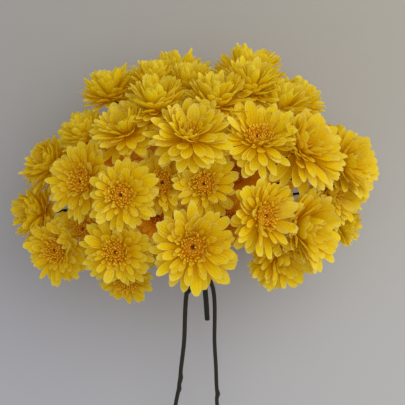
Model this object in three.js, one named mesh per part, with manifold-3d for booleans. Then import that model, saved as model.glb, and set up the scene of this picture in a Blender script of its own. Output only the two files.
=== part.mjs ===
// A bunch of yellow spray chrysanthemums, lying on its back on a table.
//
// Three cut stems, each bare below and branched above, carry a dome of double blooms. Each bloom sits on the green
// cup at the end of its own stalk. A stem with its stalks, cups and leaves is one grown piece; so is each bloom.
//
// Millimetres. +Z is up from the table, +Y runs along the stems from their cut ends to the flowers.
import * as THREE from "three";
import Module from "manifold-3d";

const wasm = await Module();
wasm.setup();

const V = (x, y, z) => new THREE.Vector3(x, y, z);
const UP = V(0, 0, 1);
const DEGREE = Math.PI / 180;

// The bunch is measured from straight above. A thing seen at x, y in the middle plane keeps its place in that view
// at any height, so its true x and y draw in towards the line of sight as it rises.
const EYE = { x: 5.5, y: 92.5, above: 950 };
const MIDDLE_HEIGHT = 95;

// Petals. A wider bloom has more of them in each layer.
const WIDTH_PER_PETAL = 10.7;
const PETAL_THICKNESS = 1.5;
const WIDEST_AT = 0.72;
const WIDTH_SHARE = 0.8;
const PETAL_LAYERS = {
  open: [
    { rise: -6, length: 0.92, hook: 0 },
    { rise: 16, length: 0.88, hook: 0.06 },
    { rise: 38, length: 0.66, hook: 0.14 },
  ],
  full: [
    { rise: -8, length: 0.92, hook: 0 },
    { rise: 24, length: 0.94, hook: 0.06 },
    { rise: 52, length: 0.9, hook: 0.12 },
  ],
};
const FLORETS = { open: { rise: 64, length: 0.3 }, full: { rise: 80, length: 0.76 } };
// The heart that the layers grow from, as circles from the seat up
const HEART = [
  { radius: 6.6, height: 0 },
  { radius: 7.4, height: 2.6 },
  { radius: 6.6, height: 5 },
  { radius: 5.2, height: 7.2 },
  { radius: 3.4, height: 8.6 },
];
const BODY_CENTRE = 6;

// Neighbouring blooms press on each other and on the table: a crowded petal is shorter and stands up more.
const GAP_TO_NEIGHBOUR = 0.36;
const NEIGHBOUR_WITHIN = 14;
const STAND_UP = 18;
const SHORTEST_SHARE = 0.2;
const SUNK_IN_TABLE = 2;

// Stalks and cups
const STALK_SIDES = 4;
const STALK_RADIUS = { base: 1.25, middle: 1.15, neck: 1.5 };
const CUP = { radius: 6, depth: 6, gap: 0.3 };
const BOWS = { directions: 8, rounds: 4, step: 9, enough: 3.5 };
const STEM_SIDES = 6;

// A number from 0 to 1 that looks random and is the same on every run
function scatter(a, b = 0) {
  const s = Math.sin(a * 12.9898 + b * 78.233) * 43758.5453;
  return s - Math.floor(s);
}

// The true place of what is seen at x, y when it lies at height z
function seenAt(x, y, z) {
  const closer = (EYE.above - (z - MIDDLE_HEIGHT)) / EYE.above;
  return V(EYE.x + (x - EYE.x) * closer, EYE.y + (y - EYE.y) * closer, z);
}

// The stems: the line that each follows from its cut end, with its radius there. The short swellings are the joints
// that the lower leaves were taken from.
const STEMS = {
  left: [
    { at: [-42, -250, 1.9], radius: 2.2 },
    { at: [-22.9, -121, 42], radius: 2.1 },
    { at: [-20.4, -108, 46.4], radius: 2.1 },
    { at: [-19, -103, 48], radius: 2.6 },
    { at: [-18.9, -98.5, 49.6], radius: 2.1 },
    { at: [-17.3, -90.5, 52], radius: 2.6 },
    { at: [-17.3, -85, 53.6], radius: 2.1 },
    { at: [-13.6, -52, 63.6], radius: 2.2 },
    { at: [-10.4, 2, 79], radius: 2.3 },
    { at: [-1.8, 35, 89.2], radius: 2.4 },
    { at: [-26, 72, 99], radius: 2.2 },
    { at: [-56, 118, 104], radius: 2 },
    { at: [-74, 164, 104], radius: 1.6 },
  ],
  right: [
    { at: [27, -250, 1.9], radius: 2.1 },
    { at: [20.9, -121, 42], radius: 2 },
    { at: [20.6, -114, 44.6], radius: 2 },
    { at: [21.5, -108.8, 46.4], radius: 2.6 },
    { at: [20.5, -103, 48.2], radius: 2 },
    { at: [19.5, -79, 55], radius: 2 },
    { at: [18, -53, 62], radius: 2 },
    { at: [16.8, 2, 79], radius: 2.1 },
    { at: [7.4, 35, 89.2], radius: 2.3 },
    { at: [38, 72, 99], radius: 2.2 },
    { at: [66, 118, 104], radius: 2 },
    { at: [84, 164, 104], radius: 1.6 },
  ],
  middle: [
    { at: [10.5, -29, 60], radius: 2.6 },
    { at: [8, 4, 74], radius: 2.7 },
    { at: [2.8, 35, 86.6], radius: 2.6 },
    { at: [2, 80, 92], radius: 2.4 },
    { at: [-2, 125, 96], radius: 2.1 },
    { at: [-6, 186, 98], radius: 1.6 },
  ],
};

// The stub of a side shoot, cut short just below the flowers
const STUB = { stem: "left", from: [-10.6, -2, 77.6], to: [-4.4, 6.5, 84], radius: 1.3 };

// The leaves left on, each on the stalk of one bloom: how far up the stalk, the way it points and its length
const LEAVES = [
  { stalk: 8, up: 0.5, points: [-0.6, 0.2, 0.6], long: 24 },
  { stalk: 19, up: 0.5, points: [0.3, 0.8, 0.4], long: 26 },
  { stalk: 21, up: 0.5, points: [-0.7, 0.5, 0.3], long: 24 },
  { stalk: 24, up: 0.5, points: [0.8, 0.3, 0.4], long: 26 },
  { stalk: 18, up: 0.5, points: [0.2, -0.7, 0.5], long: 24 },
  { stalk: 12, up: 0.5, points: [0.7, -0.5, 0.4], long: 26 },
  { stalk: 6, up: 0.5, points: [0.3, -0.8, 0.2], long: 24 },
  { stalk: 4, up: 0.5, points: [-0.6, -0.6, 0.3], long: 24 },
  { stalk: 33, up: 0.5, points: [0.5, 0.5, 0.4], long: 22 },
];
const LEAF_THICKNESS = 0.9;
// Half of a leaf's lobed outline, as shares of its length
const LEAF_OUTLINE = [
  { along: 0.34, aside: 0.3 },
  { along: 0.5, aside: 0.14 },
  { along: 0.72, aside: 0.26 },
];

// The blooms: which stem bears it, where it is seen, its height, its width across, the way it faces, and whether it
// is an open face round an eye or a full dome
const BLOOMS = [
  // the front of the dome, from the bottom up
  { stem: "left", x: -71, y: 11, z: 128, across: 60, faces: [0, -0.65, 0.75], is: "open" },
  { stem: "right", x: 85, y: 40, z: 160, across: 79, faces: [0.35, -0.45, 0.8], is: "full" },
  { stem: "left", x: -35, y: 46, z: 137, across: 52, faces: [-0.05, -0.2, 0.97], is: "open" },
  { stem: "left", x: -81, y: 43, z: 182, across: 76, faces: [-0.12, -0.1, 1], is: "open" },
  { stem: "left", x: -141, y: 45, z: 132, across: 79, faces: [-0.35, -0.1, 0.9], is: "open" },
  { stem: "middle", x: -4, y: 48, z: 200, across: 91, faces: [0.02, -0.05, 1], is: "open" },
  { stem: "left", x: -113, y: 66, z: 138, across: 73, faces: [-0.3, 0.05, 0.95], is: "open" },
  { stem: "right", x: 105, y: 66, z: 163, across: 94, faces: [0.65, -0.12, 0.75], is: "full" },
  { stem: "right", x: 31, y: 76, z: 156, across: 64, faces: [0.1, -0.05, 1], is: "open" },
  { stem: "right", x: 141, y: 74, z: 94, across: 62, faces: [0.8, -0.35, 0.45], is: "full" },
  { stem: "left", x: -38, y: 79, z: 160, across: 67, faces: [-0.05, 0, 1], is: "open" },
  { stem: "right", x: 68, y: 79, z: 190, across: 87, faces: [0.55, 0.02, 0.83], is: "open" },
  { stem: "left", x: -156, y: 83, z: 106, across: 74, faces: [-0.85, -0.05, 0.5], is: "full" },
  { stem: "left", x: -76, y: 100, z: 196, across: 76, faces: [-0.1, 0.05, 1], is: "open" },
  { stem: "right", x: 136, y: 102, z: 124, across: 73, faces: [0.55, -0.1, 0.83], is: "full" },
  { stem: "left", x: -35, y: 112, z: 178, across: 75, faces: [0.1, 0.15, 1], is: "open" },
  { stem: "middle", x: 7, y: 111, z: 184, across: 74, faces: [-0.05, 0.12, 1], is: "open" },
  { stem: "left", x: -115, y: 114, z: 166, across: 88, faces: [-0.5, 0.12, 0.85], is: "open" },
  { stem: "right", x: 40, y: 120, z: 148, across: 73, faces: [0.1, 0.2, 1], is: "open" },
  { stem: "right", x: 148, y: 130, z: 126, across: 83, faces: [0.6, 0.15, 0.78], is: "full" },
  { stem: "left", x: -143, y: 129, z: 112, across: 74, faces: [-0.72, 0.4, 0.55], is: "full" },
  { stem: "left", x: -76, y: 138, z: 149, across: 70, faces: [-0.2, 0.25, 0.95], is: "full" },
  { stem: "right", x: 105, y: 147, z: 164, across: 95, faces: [0.5, 0.45, 0.74], is: "full" },
  { stem: "right", x: 61, y: 158, z: 183, across: 88, faces: [0.05, 0.6, 0.8], is: "open" },
  { stem: "middle", x: -7, y: 160, z: 188, across: 87, faces: [0, 0.6, 0.8], is: "full" },
  { stem: "left", x: -50, y: 158, z: 148, across: 67, faces: [-0.1, 0.5, 0.85], is: "full" },
  { stem: "left", x: -108, y: 157, z: 132, across: 68, faces: [-0.45, 0.82, 0.35], is: "full" },
  { stem: "left", x: -71, y: 164, z: 166, across: 78, faces: [-0.35, 0.7, 0.62], is: "full" },
  { stem: "middle", x: 33, y: 176, z: 138, across: 65, faces: [0.1, 0.5, 0.85], is: "full" },
  { stem: "right", x: 81, y: 186, z: 146, across: 74, faces: [0.25, 0.82, 0.5], is: "full" },
  { stem: "middle", x: -40, y: 188, z: 168, across: 80, faces: [-0.1, 0.85, 0.5], is: "full" },
  { stem: "right", x: 95, y: 190, z: 120, across: 77, faces: [0.45, 0.8, 0.38], is: "full" },
  { stem: "middle", x: 19, y: 192, z: 170, across: 78, faces: [0.05, 0.85, 0.5], is: "full" },
  { stem: "left", x: -86, y: 200, z: 118, across: 75, faces: [-0.2, 0.93, 0.3], is: "full" },
  { stem: "right", x: 53, y: 205, z: 150, across: 78, faces: [0.08, 0.88, 0.45], is: "full" },
  { stem: "middle", x: -8, y: 207, z: 142, across: 68, faces: [0, 0.9, 0.42], is: "full" },
  { stem: "middle", x: -42, y: 210, z: 130, across: 70, faces: [-0.1, 0.9, 0.4], is: "full" },
  { stem: "middle", x: -20, y: 212, z: 86, across: 89, faces: [0, 0.97, 0.1], is: "full" },
  { stem: "middle", x: 49, y: 216, z: 100, across: 93, faces: [0.05, 0.95, 0.2], is: "full" },
  { stem: "middle", x: -16, y: 122, z: 140, across: 62, faces: [0, 0.15, 1], is: "open" },
  // the back of the dome, which the bunch lies on
  { stem: "left", x: -87, y: 52, z: 56, across: 71, faces: [-0.3, -0.3, -0.9], is: "full" },
  { stem: "right", x: 62, y: 72, z: 26, across: 71, faces: [0.15, -0.2, -0.95], is: "full" },
  { stem: "right", x: 118, y: 80, z: 48, across: 74, faces: [0.5, -0.1, -0.85], is: "full" },
  { stem: "left", x: -28, y: 82, z: 18, across: 74, faces: [0, -0.15, -0.97], is: "full" },
  { stem: "left", x: -92, y: 108, z: 24, across: 76, faces: [-0.3, 0, -0.95], is: "full" },
  { stem: "middle", x: 18, y: 112, z: 14, across: 71, faces: [0.05, 0, -1], is: "full" },
  { stem: "right", x: 72, y: 126, z: 20, across: 74, faces: [0.15, 0.05, -0.97], is: "full" },
  { stem: "middle", x: -36, y: 146, z: 16, across: 76, faces: [-0.1, 0.1, -0.97], is: "full" },
  { stem: "right", x: 132, y: 146, z: 70, across: 68, faces: [0.65, 0.3, -0.65], is: "full" },
  { stem: "left", x: -114, y: 156, z: 58, across: 76, faces: [-0.5, 0.4, -0.75], is: "full" },
  { stem: "middle", x: 30, y: 168, z: 20, across: 74, faces: [0.1, 0.3, -0.95], is: "full" },
  { stem: "right", x: 92, y: 184, z: 58, across: 74, faces: [0.4, 0.6, -0.7], is: "full" },
  { stem: "left", x: -62, y: 200, z: 62, across: 74, faces: [-0.2, 0.75, -0.6], is: "full" },
  { stem: "middle", x: 16, y: 204, z: 50, across: 66, faces: [0.1, 0.75, -0.65], is: "full" },
];

// Adds to each bloom its name, its axis, its seat on the cup and the middle of its body
function placed(bloom, i) {
  const axis = V(...bloom.faces).normalize();
  const centre = seenAt(bloom.x, bloom.y, bloom.z);
  const name = "bloom_" + String(i + 1).padStart(2, "0");
  const seat = centre.clone().addScaledVector(axis, -BODY_CENTRE);
  return { ...bloom, name, axis, centre, seat, turn: scatter(i, 1) * 360 * DEGREE };
}

// The planes half-way to each neighbour, as a direction and a distance from the bloom's centre
function pressingPlanes(bloom, blooms) {
  const planes = [];
  for (const other of blooms) {
    if (other === bloom) continue;
    const towards = other.centre.clone().sub(bloom.centre);
    const apart = towards.length();
    if (apart > (bloom.across + other.across) / 2 + NEIGHBOUR_WITHIN) continue;
    const share = bloom.across / (bloom.across + other.across);
    planes.push({ towards: towards.normalize(), distance: apart * share, gap: GAP_TO_NEIGHBOUR });
  }
  planes.push({ towards: V(0, 0, -1), distance: bloom.centre.z, gap: -SUNK_IN_TABLE });
  return planes;
}

// How much of its size a petal keeps, to stay on its own side of every plane, and which way the tightest one faces
function roomFor(points, root, bloom) {
  let tightest = { share: 1, towards: null };
  for (const { towards, distance, gap } of bloom.planes) {
    const room = distance - gap - towards.dot(root.clone().sub(bloom.centre));
    const needed = Math.max(...points.map((point) => towards.dot(point.clone().sub(root))));
    if (needed > room && room / needed < tightest.share) tightest = { share: room / needed, towards };
  }
  tightest.share = Math.max(tightest.share, SHORTEST_SHARE);
  return tightest;
}

function solidFrom(points, triangles) {
  const vertProperties = new Float32Array(points.flatMap((p) => [p.x, p.y, p.z]));
  return new wasm.Manifold(
    new wasm.Mesh({ numProp: 3, vertProperties, triVerts: new Uint32Array(triangles.flat()) }),
  );
}

// One bloom: layers of petals round a heart, each layer half a step on from the one below
function bloomSolid(bloom) {
  const turnUp = new THREE.Quaternion().setFromUnitVectors(UP, bloom.axis);
  const count = Math.round(bloom.across / WIDTH_PER_PETAL);
  const step = (2 * Math.PI) / count;
  const toWorld = (p) => p.applyQuaternion(turnUp).add(bloom.seat);
  const points = [];
  const triangles = [];
  const add = (p) => points.push(p) - 1;
  const circles = HEART.map(({ radius, height }, c) =>
    Array.from({ length: count }, (_, j) => {
      const angle = bloom.turn + step * (j + c / 2);
      return add(toWorld(V(radius * Math.cos(angle), radius * Math.sin(angle), height)));
    }),
  );
  const reach = bloom.across / 2 - HEART[0].radius;

  // Points of a petal or floret at one angle, each so far along it, so far to its side and lifted off its line
  const shape = (layer, angle, rise, places) => {
    const root = V(0, 0, (HEART[layer].height + HEART[layer + 1].height) / 2);
    const radius = (HEART[layer].radius + HEART[layer + 1].radius) / 2;
    root.x = radius * Math.cos(angle);
    root.y = radius * Math.sin(angle);
    const [c, s] = [Math.cos(rise), Math.sin(rise)];
    const points = places.map(([along, aside, lift]) => {
      const out = radius + along * c - lift * s;
      const p = V(out * Math.cos(angle), out * Math.sin(angle), root.z + along * s + lift * c);
      return toWorld(p.add(V(-aside * Math.sin(angle), aside * Math.cos(angle), 0)));
    });
    return { points, root: toWorld(root) };
  };

  // The same points drawn in to the room there is
  const fitted = (layer, angle, rise, places) => {
    const free = shape(layer, angle, rise, places);
    const first = roomFor(free.points, free.root, bloom);
    const beside = first.towards && first.towards.dot(bloom.axis) < 0.5;
    const stand = beside ? STAND_UP * DEGREE * (1 - first.share) : 0;
    const { points, root } = shape(layer, angle, rise + stand, places);
    const { share } = roomFor(points, root, bloom);
    return points.map((point) => root.clone().lerp(point, share));
  };

  for (let layer = 0; layer < HEART.length - 1; layer += 1) {
    const petal = PETAL_LAYERS[bloom.is][layer];
    for (let j = 0; j < count; j += 1) {
      const next = (j + 1) % count;
      const [lowA, lowB] = [circles[layer][j], circles[layer][next]];
      const [topA, topB] = [circles[layer + 1][j], circles[layer + 1][next]];
      const angle = bloom.turn + step * (j + layer / 2 + 0.75);
      const vary = scatter(bloom.turn * 7 + layer, j) - 0.5;
      if (!petal) {
        const floret = FLORETS[bloom.is];
        const [tip] = fitted(layer, angle, floret.rise * DEGREE, [[floret.length * reach, 0, 0]]);
        const t = add(tip);
        triangles.push([topA, t, topB], [lowA, lowB, t], [t, topA, lowA], [topB, t, lowB]);
        continue;
      }
      const length = petal.length * reach * (1 + 0.1 * vary);
      const rise = (petal.rise + 4 * vary) * DEGREE;
      const middle = WIDEST_AT * length;
      const outThere = HEART[layer + 1].radius + middle * Math.cos(rise);
      const aside = WIDTH_SHARE * outThere * Math.tan(step / 2);
      const edge = [
        [middle, -aside, 0],
        [middle, aside, 0],
        [length, 0, petal.hook * length],
      ];
      const [sideA, sideB, tip] = fitted(layer, angle, rise, edge);
      const foot = points[topA].clone().add(points[topB]).divideScalar(2);
      const across = sideB.clone().sub(sideA);
      const face = tip.clone().sub(foot).cross(across).normalize();
      const ridge = sideA.clone().add(sideB).divideScalar(2).lerp(foot, 0.12);
      ridge.addScaledVector(face, PETAL_THICKNESS);
      const [a, b, t, m] = [sideA, sideB, tip, ridge].map(add);
      triangles.push([topA, a, m], [a, t, m], [t, b, m], [b, topB, m], [topB, topA, m]);
      triangles.push([lowA, lowB, a], [a, lowB, b], [a, b, t]);
      triangles.push([a, topA, lowA], [topB, b, lowB]);
    }
  }
  const [seat, crown] = [circles[0], circles[circles.length - 1]];
  for (let j = 1; j < count - 1; j += 1) {
    triangles.push([seat[0], seat[j + 1], seat[j]], [crown[0], crown[j], crown[j + 1]]);
  }
  return solidFrom(points, triangles).trimByPlane([0, 0, 1], 0);
}

// A closed skin over rings of points, each ring with as many points as the next
function lofted(rings) {
  const sides = rings[0].length;
  const triangles = [];
  for (let r = 0; r < rings.length - 1; r += 1) {
    for (let s = 0; s < sides; s += 1) {
      const [a, b] = [r * sides + s, r * sides + ((s + 1) % sides)];
      triangles.push([a, b, b + sides], [a, b + sides, a + sides]);
    }
  }
  const last = (rings.length - 1) * sides;
  for (let s = 1; s < sides - 1; s += 1) {
    triangles.push([0, s + 1, s], [last, last + s, last + s + 1]);
  }
  return solidFrom(rings.flat(), triangles);
}

// A ring of points round a line's direction. The reference direction keeps successive rings from twisting.
function ring(centre, direction, radius, sides, reference) {
  const side = reference.clone().addScaledVector(direction, -reference.dot(direction)).normalize();
  const other = direction.clone().cross(side);
  return Array.from({ length: sides }, (_, s) => {
    const angle = (2 * Math.PI * s) / sides;
    return centre
      .clone()
      .addScaledVector(side, radius * Math.cos(angle))
      .addScaledVector(other, radius * Math.sin(angle));
  });
}

function lineOf(stem) {
  return new THREE.CatmullRomCurve3(stem.map(({ at }) => V(...at)));
}

// The main stem, its cut end square to it
function stemSolid(stem) {
  const curve = lineOf(stem);
  const last = stem.length - 1;
  const rings = stem.map(({ radius }, i) =>
    ring(curve.getPoint(i / last), curve.getTangent(i / last), radius, STEM_SIDES, UP),
  );
  return lofted(rings);
}

function stubSolid({ from, to, radius }) {
  const [a, b] = [V(...from), V(...to)];
  const along = b.clone().sub(a).normalize();
  return lofted([a, b].map((end) => ring(end, along, radius, STEM_SIDES, UP)));
}

// A leaf: a lobed blade, thickest along its midrib, from inside its stalk
function leafSolid(base, leaf) {
  const along = V(...leaf.points).normalize();
  const side = along.clone().cross(UP).normalize();
  const face = side.clone().cross(along);
  const at = (share, aside, lift) =>
    base
      .clone()
      .addScaledVector(along, share * leaf.long)
      .addScaledVector(side, aside * leaf.long)
      .addScaledVector(face, lift);
  const rightEdge = LEAF_OUTLINE.map(({ along: share, aside }) => at(share, aside, 0));
  const leftEdge = LEAF_OUTLINE.map(({ along: share, aside }) => at(share, -aside, 0)).reverse();
  const outline = [at(0, 0.03, 0), ...rightEdge, at(1, 0, 0), ...leftEdge, at(0, -0.03, 0)];
  const count = outline.length;
  const triangles = [];
  for (let i = 0; i < count; i += 1) {
    const next = (i + 1) % count;
    triangles.push([i, next, count], [next, i, count + 1]);
  }
  const [over, under] = [0.5, -0.5].map((share) => at(0.45, 0, share * 2 * LEAF_THICKNESS));
  return solidFrom([...outline, over, under], triangles);
}

// How far a point is outside a bloom, whose body is the half of a ball in front of its seat
function clearance(point, bloom) {
  const away = point.clone().sub(bloom.seat);
  return Math.max(-away.dot(bloom.axis), away.length() - 0.42 * bloom.across);
}

// The line of a stalk: along its stem first, then square into its cup. It bows to the side that keeps it clearest
// of the other blooms.
function stalkLine(bloom, from, along, blooms) {
  const cupFoot = bloom.seat.clone().addScaledVector(bloom.axis, -CUP.gap - CUP.depth);
  const span = cupFoot.distanceTo(from);
  const out = cupFoot.clone().sub(from).normalize();
  const leave = along.clone().add(out).normalize();
  const side = UP.clone().cross(out).normalize();
  const over = out.clone().cross(side);
  const others = blooms.filter((other) => other !== bloom);
  let best = { clear: -Infinity };
  for (let bow = 0; bow <= BOWS.rounds * BOWS.directions; bow += 1) {
    const by = Math.ceil(bow / BOWS.directions) * BOWS.step;
    const angle = (2 * Math.PI * bow) / BOWS.directions;
    const aside = side.clone().multiplyScalar(by * Math.cos(angle));
    aside.addScaledVector(over, by * Math.sin(angle));
    const curve = new THREE.CubicBezierCurve3(
      from,
      from.clone().addScaledVector(leave, span * 0.3).add(aside),
      cupFoot.clone().addScaledVector(bloom.axis, -Math.min(span * 0.4, 45)).add(aside),
      cupFoot,
    );
    const nearest = (p) => Math.min(...others.map((other) => clearance(p, other)));
    const clear = Math.min(...curve.getPoints(20).slice(2).map(nearest));
    if (clear > best.clear) best = { clear, curve };
    if (clear > BOWS.enough) break;
  }
  return best.curve;
}

// A stalk from inside the stem to the cup that its bloom sits on
function stalkSolid(bloom, curve) {
  const reference = Math.abs(bloom.axis.z) > 0.8 ? V(0, 1, 0) : UP;
  const at = (t, radius) =>
    ring(curve.getPoint(t), curve.getTangent(t), radius, STALK_SIDES, reference);
  const rim = bloom.seat.clone().addScaledVector(bloom.axis, -CUP.gap);
  return lofted([
    at(0, STALK_RADIUS.base),
    at(0.5, STALK_RADIUS.middle),
    ring(curve.getPoint(1), bloom.axis, STALK_RADIUS.neck, STALK_SIDES, reference),
    ring(rim, bloom.axis, CUP.radius, STALK_SIDES, reference),
  ]);
}

// Where the stalks leave a stem: even steps up its branched length, the lowest bloom first
const BRANCHED = { from: 40, to: 0.96 };

function sprayStemSolid(side, blooms) {
  const curve = lineOf(STEMS[side]);
  const steps = 400;
  const heights = Array.from({ length: steps + 1 }, (_, i) => curve.getPoint(i / steps).y);
  const first = heights.findIndex((y) => y > BRANCHED.from) / steps;
  const borne = blooms.filter((bloom) => bloom.stem === side);
  borne.sort((a, b) => a.centre.y - b.centre.y);
  const grown = [stemSolid(STEMS[side])];
  borne.forEach((bloom, i) => {
    const t = first + (BRANCHED.to - first) * (i / (borne.length - 1));
    const line = stalkLine(bloom, curve.getPoint(t), curve.getTangent(t), blooms);
    grown.push(stalkSolid(bloom, line));
    const leaves = LEAVES.filter((leaf) => blooms[leaf.stalk - 1] === bloom);
    for (const leaf of leaves) grown.push(leafSolid(line.getPoint(leaf.up), leaf));
  });
  if (STUB.stem === side) grown.push(stubSolid(STUB));
  return wasm.Manifold.union(grown).trimByPlane([0, 0, 1], 0);
}

function geometryOf(solid) {
  const mesh = solid.getMesh();
  const geometry = new THREE.BufferGeometry();
  geometry.setAttribute("position", new THREE.BufferAttribute(mesh.vertProperties, 3));
  geometry.setIndex(new THREE.BufferAttribute(mesh.triVerts, 1));
  geometry.computeVertexNormals();
  return geometry;
}

const petalYellow = new THREE.MeshStandardMaterial({ color: 0xe2b010, roughness: 0.6, metalness: 0 });
const stemGreen = new THREE.MeshStandardMaterial({ color: 0x2a2c1a, roughness: 0.7, metalness: 0 });

const bunch = new THREE.Group();
function addMesh(name, solid, material) {
  const mesh = new THREE.Mesh(geometryOf(solid), material);
  mesh.name = name;
  bunch.add(mesh);
}

const blooms = BLOOMS.map(placed);
for (const bloom of blooms) bloom.planes = pressingPlanes(bloom, blooms);
for (const bloom of blooms) addMesh(bloom.name, bloomSolid(bloom), petalYellow);
for (const side of Object.keys(STEMS)) {
  addMesh("stem_" + side, sprayStemSolid(side, blooms), stemGreen);
}

export default bunch;
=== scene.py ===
"""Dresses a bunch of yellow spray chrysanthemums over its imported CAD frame.

Three cut stems lie on a table and carry a dome of 54 double blooms. Every bloom is one piece, grown from copies of a
few petal blanks that are modelled once and then bent to their place. A stem with its stalks, cups and leaves is
another piece.

Sizes are millimetres in the frame of the CAD part, with +Z up from the table and +Y from the cut ends to the
flowers. MM turns them into Blender's metres.
"""

from __future__ import annotations

import logging
import math
from collections.abc import Iterator
from dataclasses import dataclass, field, replace
from enum import Enum
from functools import cached_property
from typing import ClassVar

import bmesh
import bpy
import numpy as np
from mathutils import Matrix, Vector

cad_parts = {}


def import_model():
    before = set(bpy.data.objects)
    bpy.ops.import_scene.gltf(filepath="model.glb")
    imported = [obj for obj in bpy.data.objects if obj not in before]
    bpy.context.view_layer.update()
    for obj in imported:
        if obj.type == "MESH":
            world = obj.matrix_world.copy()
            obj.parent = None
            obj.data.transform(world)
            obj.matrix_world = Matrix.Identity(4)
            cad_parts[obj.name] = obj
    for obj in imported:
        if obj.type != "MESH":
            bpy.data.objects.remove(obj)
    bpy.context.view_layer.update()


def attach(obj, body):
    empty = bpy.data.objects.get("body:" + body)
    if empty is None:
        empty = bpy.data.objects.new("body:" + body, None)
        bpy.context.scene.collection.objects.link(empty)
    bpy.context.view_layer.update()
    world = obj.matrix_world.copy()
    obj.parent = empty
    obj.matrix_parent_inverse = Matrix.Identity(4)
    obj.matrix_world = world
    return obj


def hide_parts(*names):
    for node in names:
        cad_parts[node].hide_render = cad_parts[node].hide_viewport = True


log = logging.getLogger("chrysanthemums")

MM = 0.001
BODY = "root"
SEED = 20

Colour = tuple[float, float, float]
Triple = tuple[float, float, float]
Pair = tuple[float, float]
Array = np.ndarray

# The bunch was measured from straight above, from a camera over this place and this far over the middle plane. A
# thing seen at x, y in that plane keeps its place in the view at any height, so its true x and y draw in towards the
# line of sight as it rises.
CAMERA_AT: Pair = (5.5, 92.5)
CAMERA_ABOVE = 950.0
MIDDLE_HEIGHT = 95.0

# How far behind the middle of a bloom its petals are seated on the cup
BODY_CENTRE = 6.0


class Side(Enum):
    """The stem that bears a bloom."""

    LEFT = "left"
    RIGHT = "right"
    MIDDLE = "middle"


class Habit(Enum):
    """How far a bloom has opened.

    OPEN is flat with a wide eye, BOWL is deep with a narrow throat, and FULL is crowned over its middle. HIDDEN is on
    the underside of the bunch, and more simply made.
    """

    OPEN = "open"
    BOWL = "bowl"
    FULL = "full"
    HIDDEN = "hidden"


@dataclass(frozen=True)
class BloomPlace:
    """Where one bloom stands: its stem, where it is seen, its height, its width, the way it faces and its habit."""

    side: Side
    x: float
    y: float
    z: float
    across: float
    faces: Triple
    habit: Habit = Habit.FULL

    @cached_property
    def axis(self) -> Array:
        """The way the bloom faces, of length 1."""
        return unit(np.array(self.faces, float))

    @cached_property
    def turn(self) -> Array:
        """The rotation matrix that turns +Z to the way the bloom faces."""
        return np.array(Vector((0, 0, 1)).rotation_difference(Vector(self.axis)).to_matrix())

    @cached_property
    def centre(self) -> Array:
        """The middle of the bloom's body."""
        closer = (CAMERA_ABOVE - (self.z - MIDDLE_HEIGHT)) / CAMERA_ABOVE
        return np.array([at + (seen - at) * closer for at, seen in zip(CAMERA_AT, (self.x, self.y))] + [self.z])

    @cached_property
    def seat(self) -> Array:
        """The middle of the bloom's seat on its cup."""
        return self.centre - BODY_CENTRE * self.axis

    def seated(self, points: Array, angle: float, root: Pair) -> Array:
        """Places a bent blade round the bloom's axis.

        Args:
            points: the blade's points, out from its root, to its side and up.
            angle: where it stands round the axis.
            root: the radius and the height of its root over the seat.

        Returns:
            The points in the part's frame.
        """
        out, side, up = points[:, 0] + root[0], points[:, 1], points[:, 2] + root[1]
        c, s = math.cos(angle), math.sin(angle)
        local = np.stack([out * c - side * s, out * s + side * c, up], axis=1)
        return local @ self.turn.T + self.seat


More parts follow.
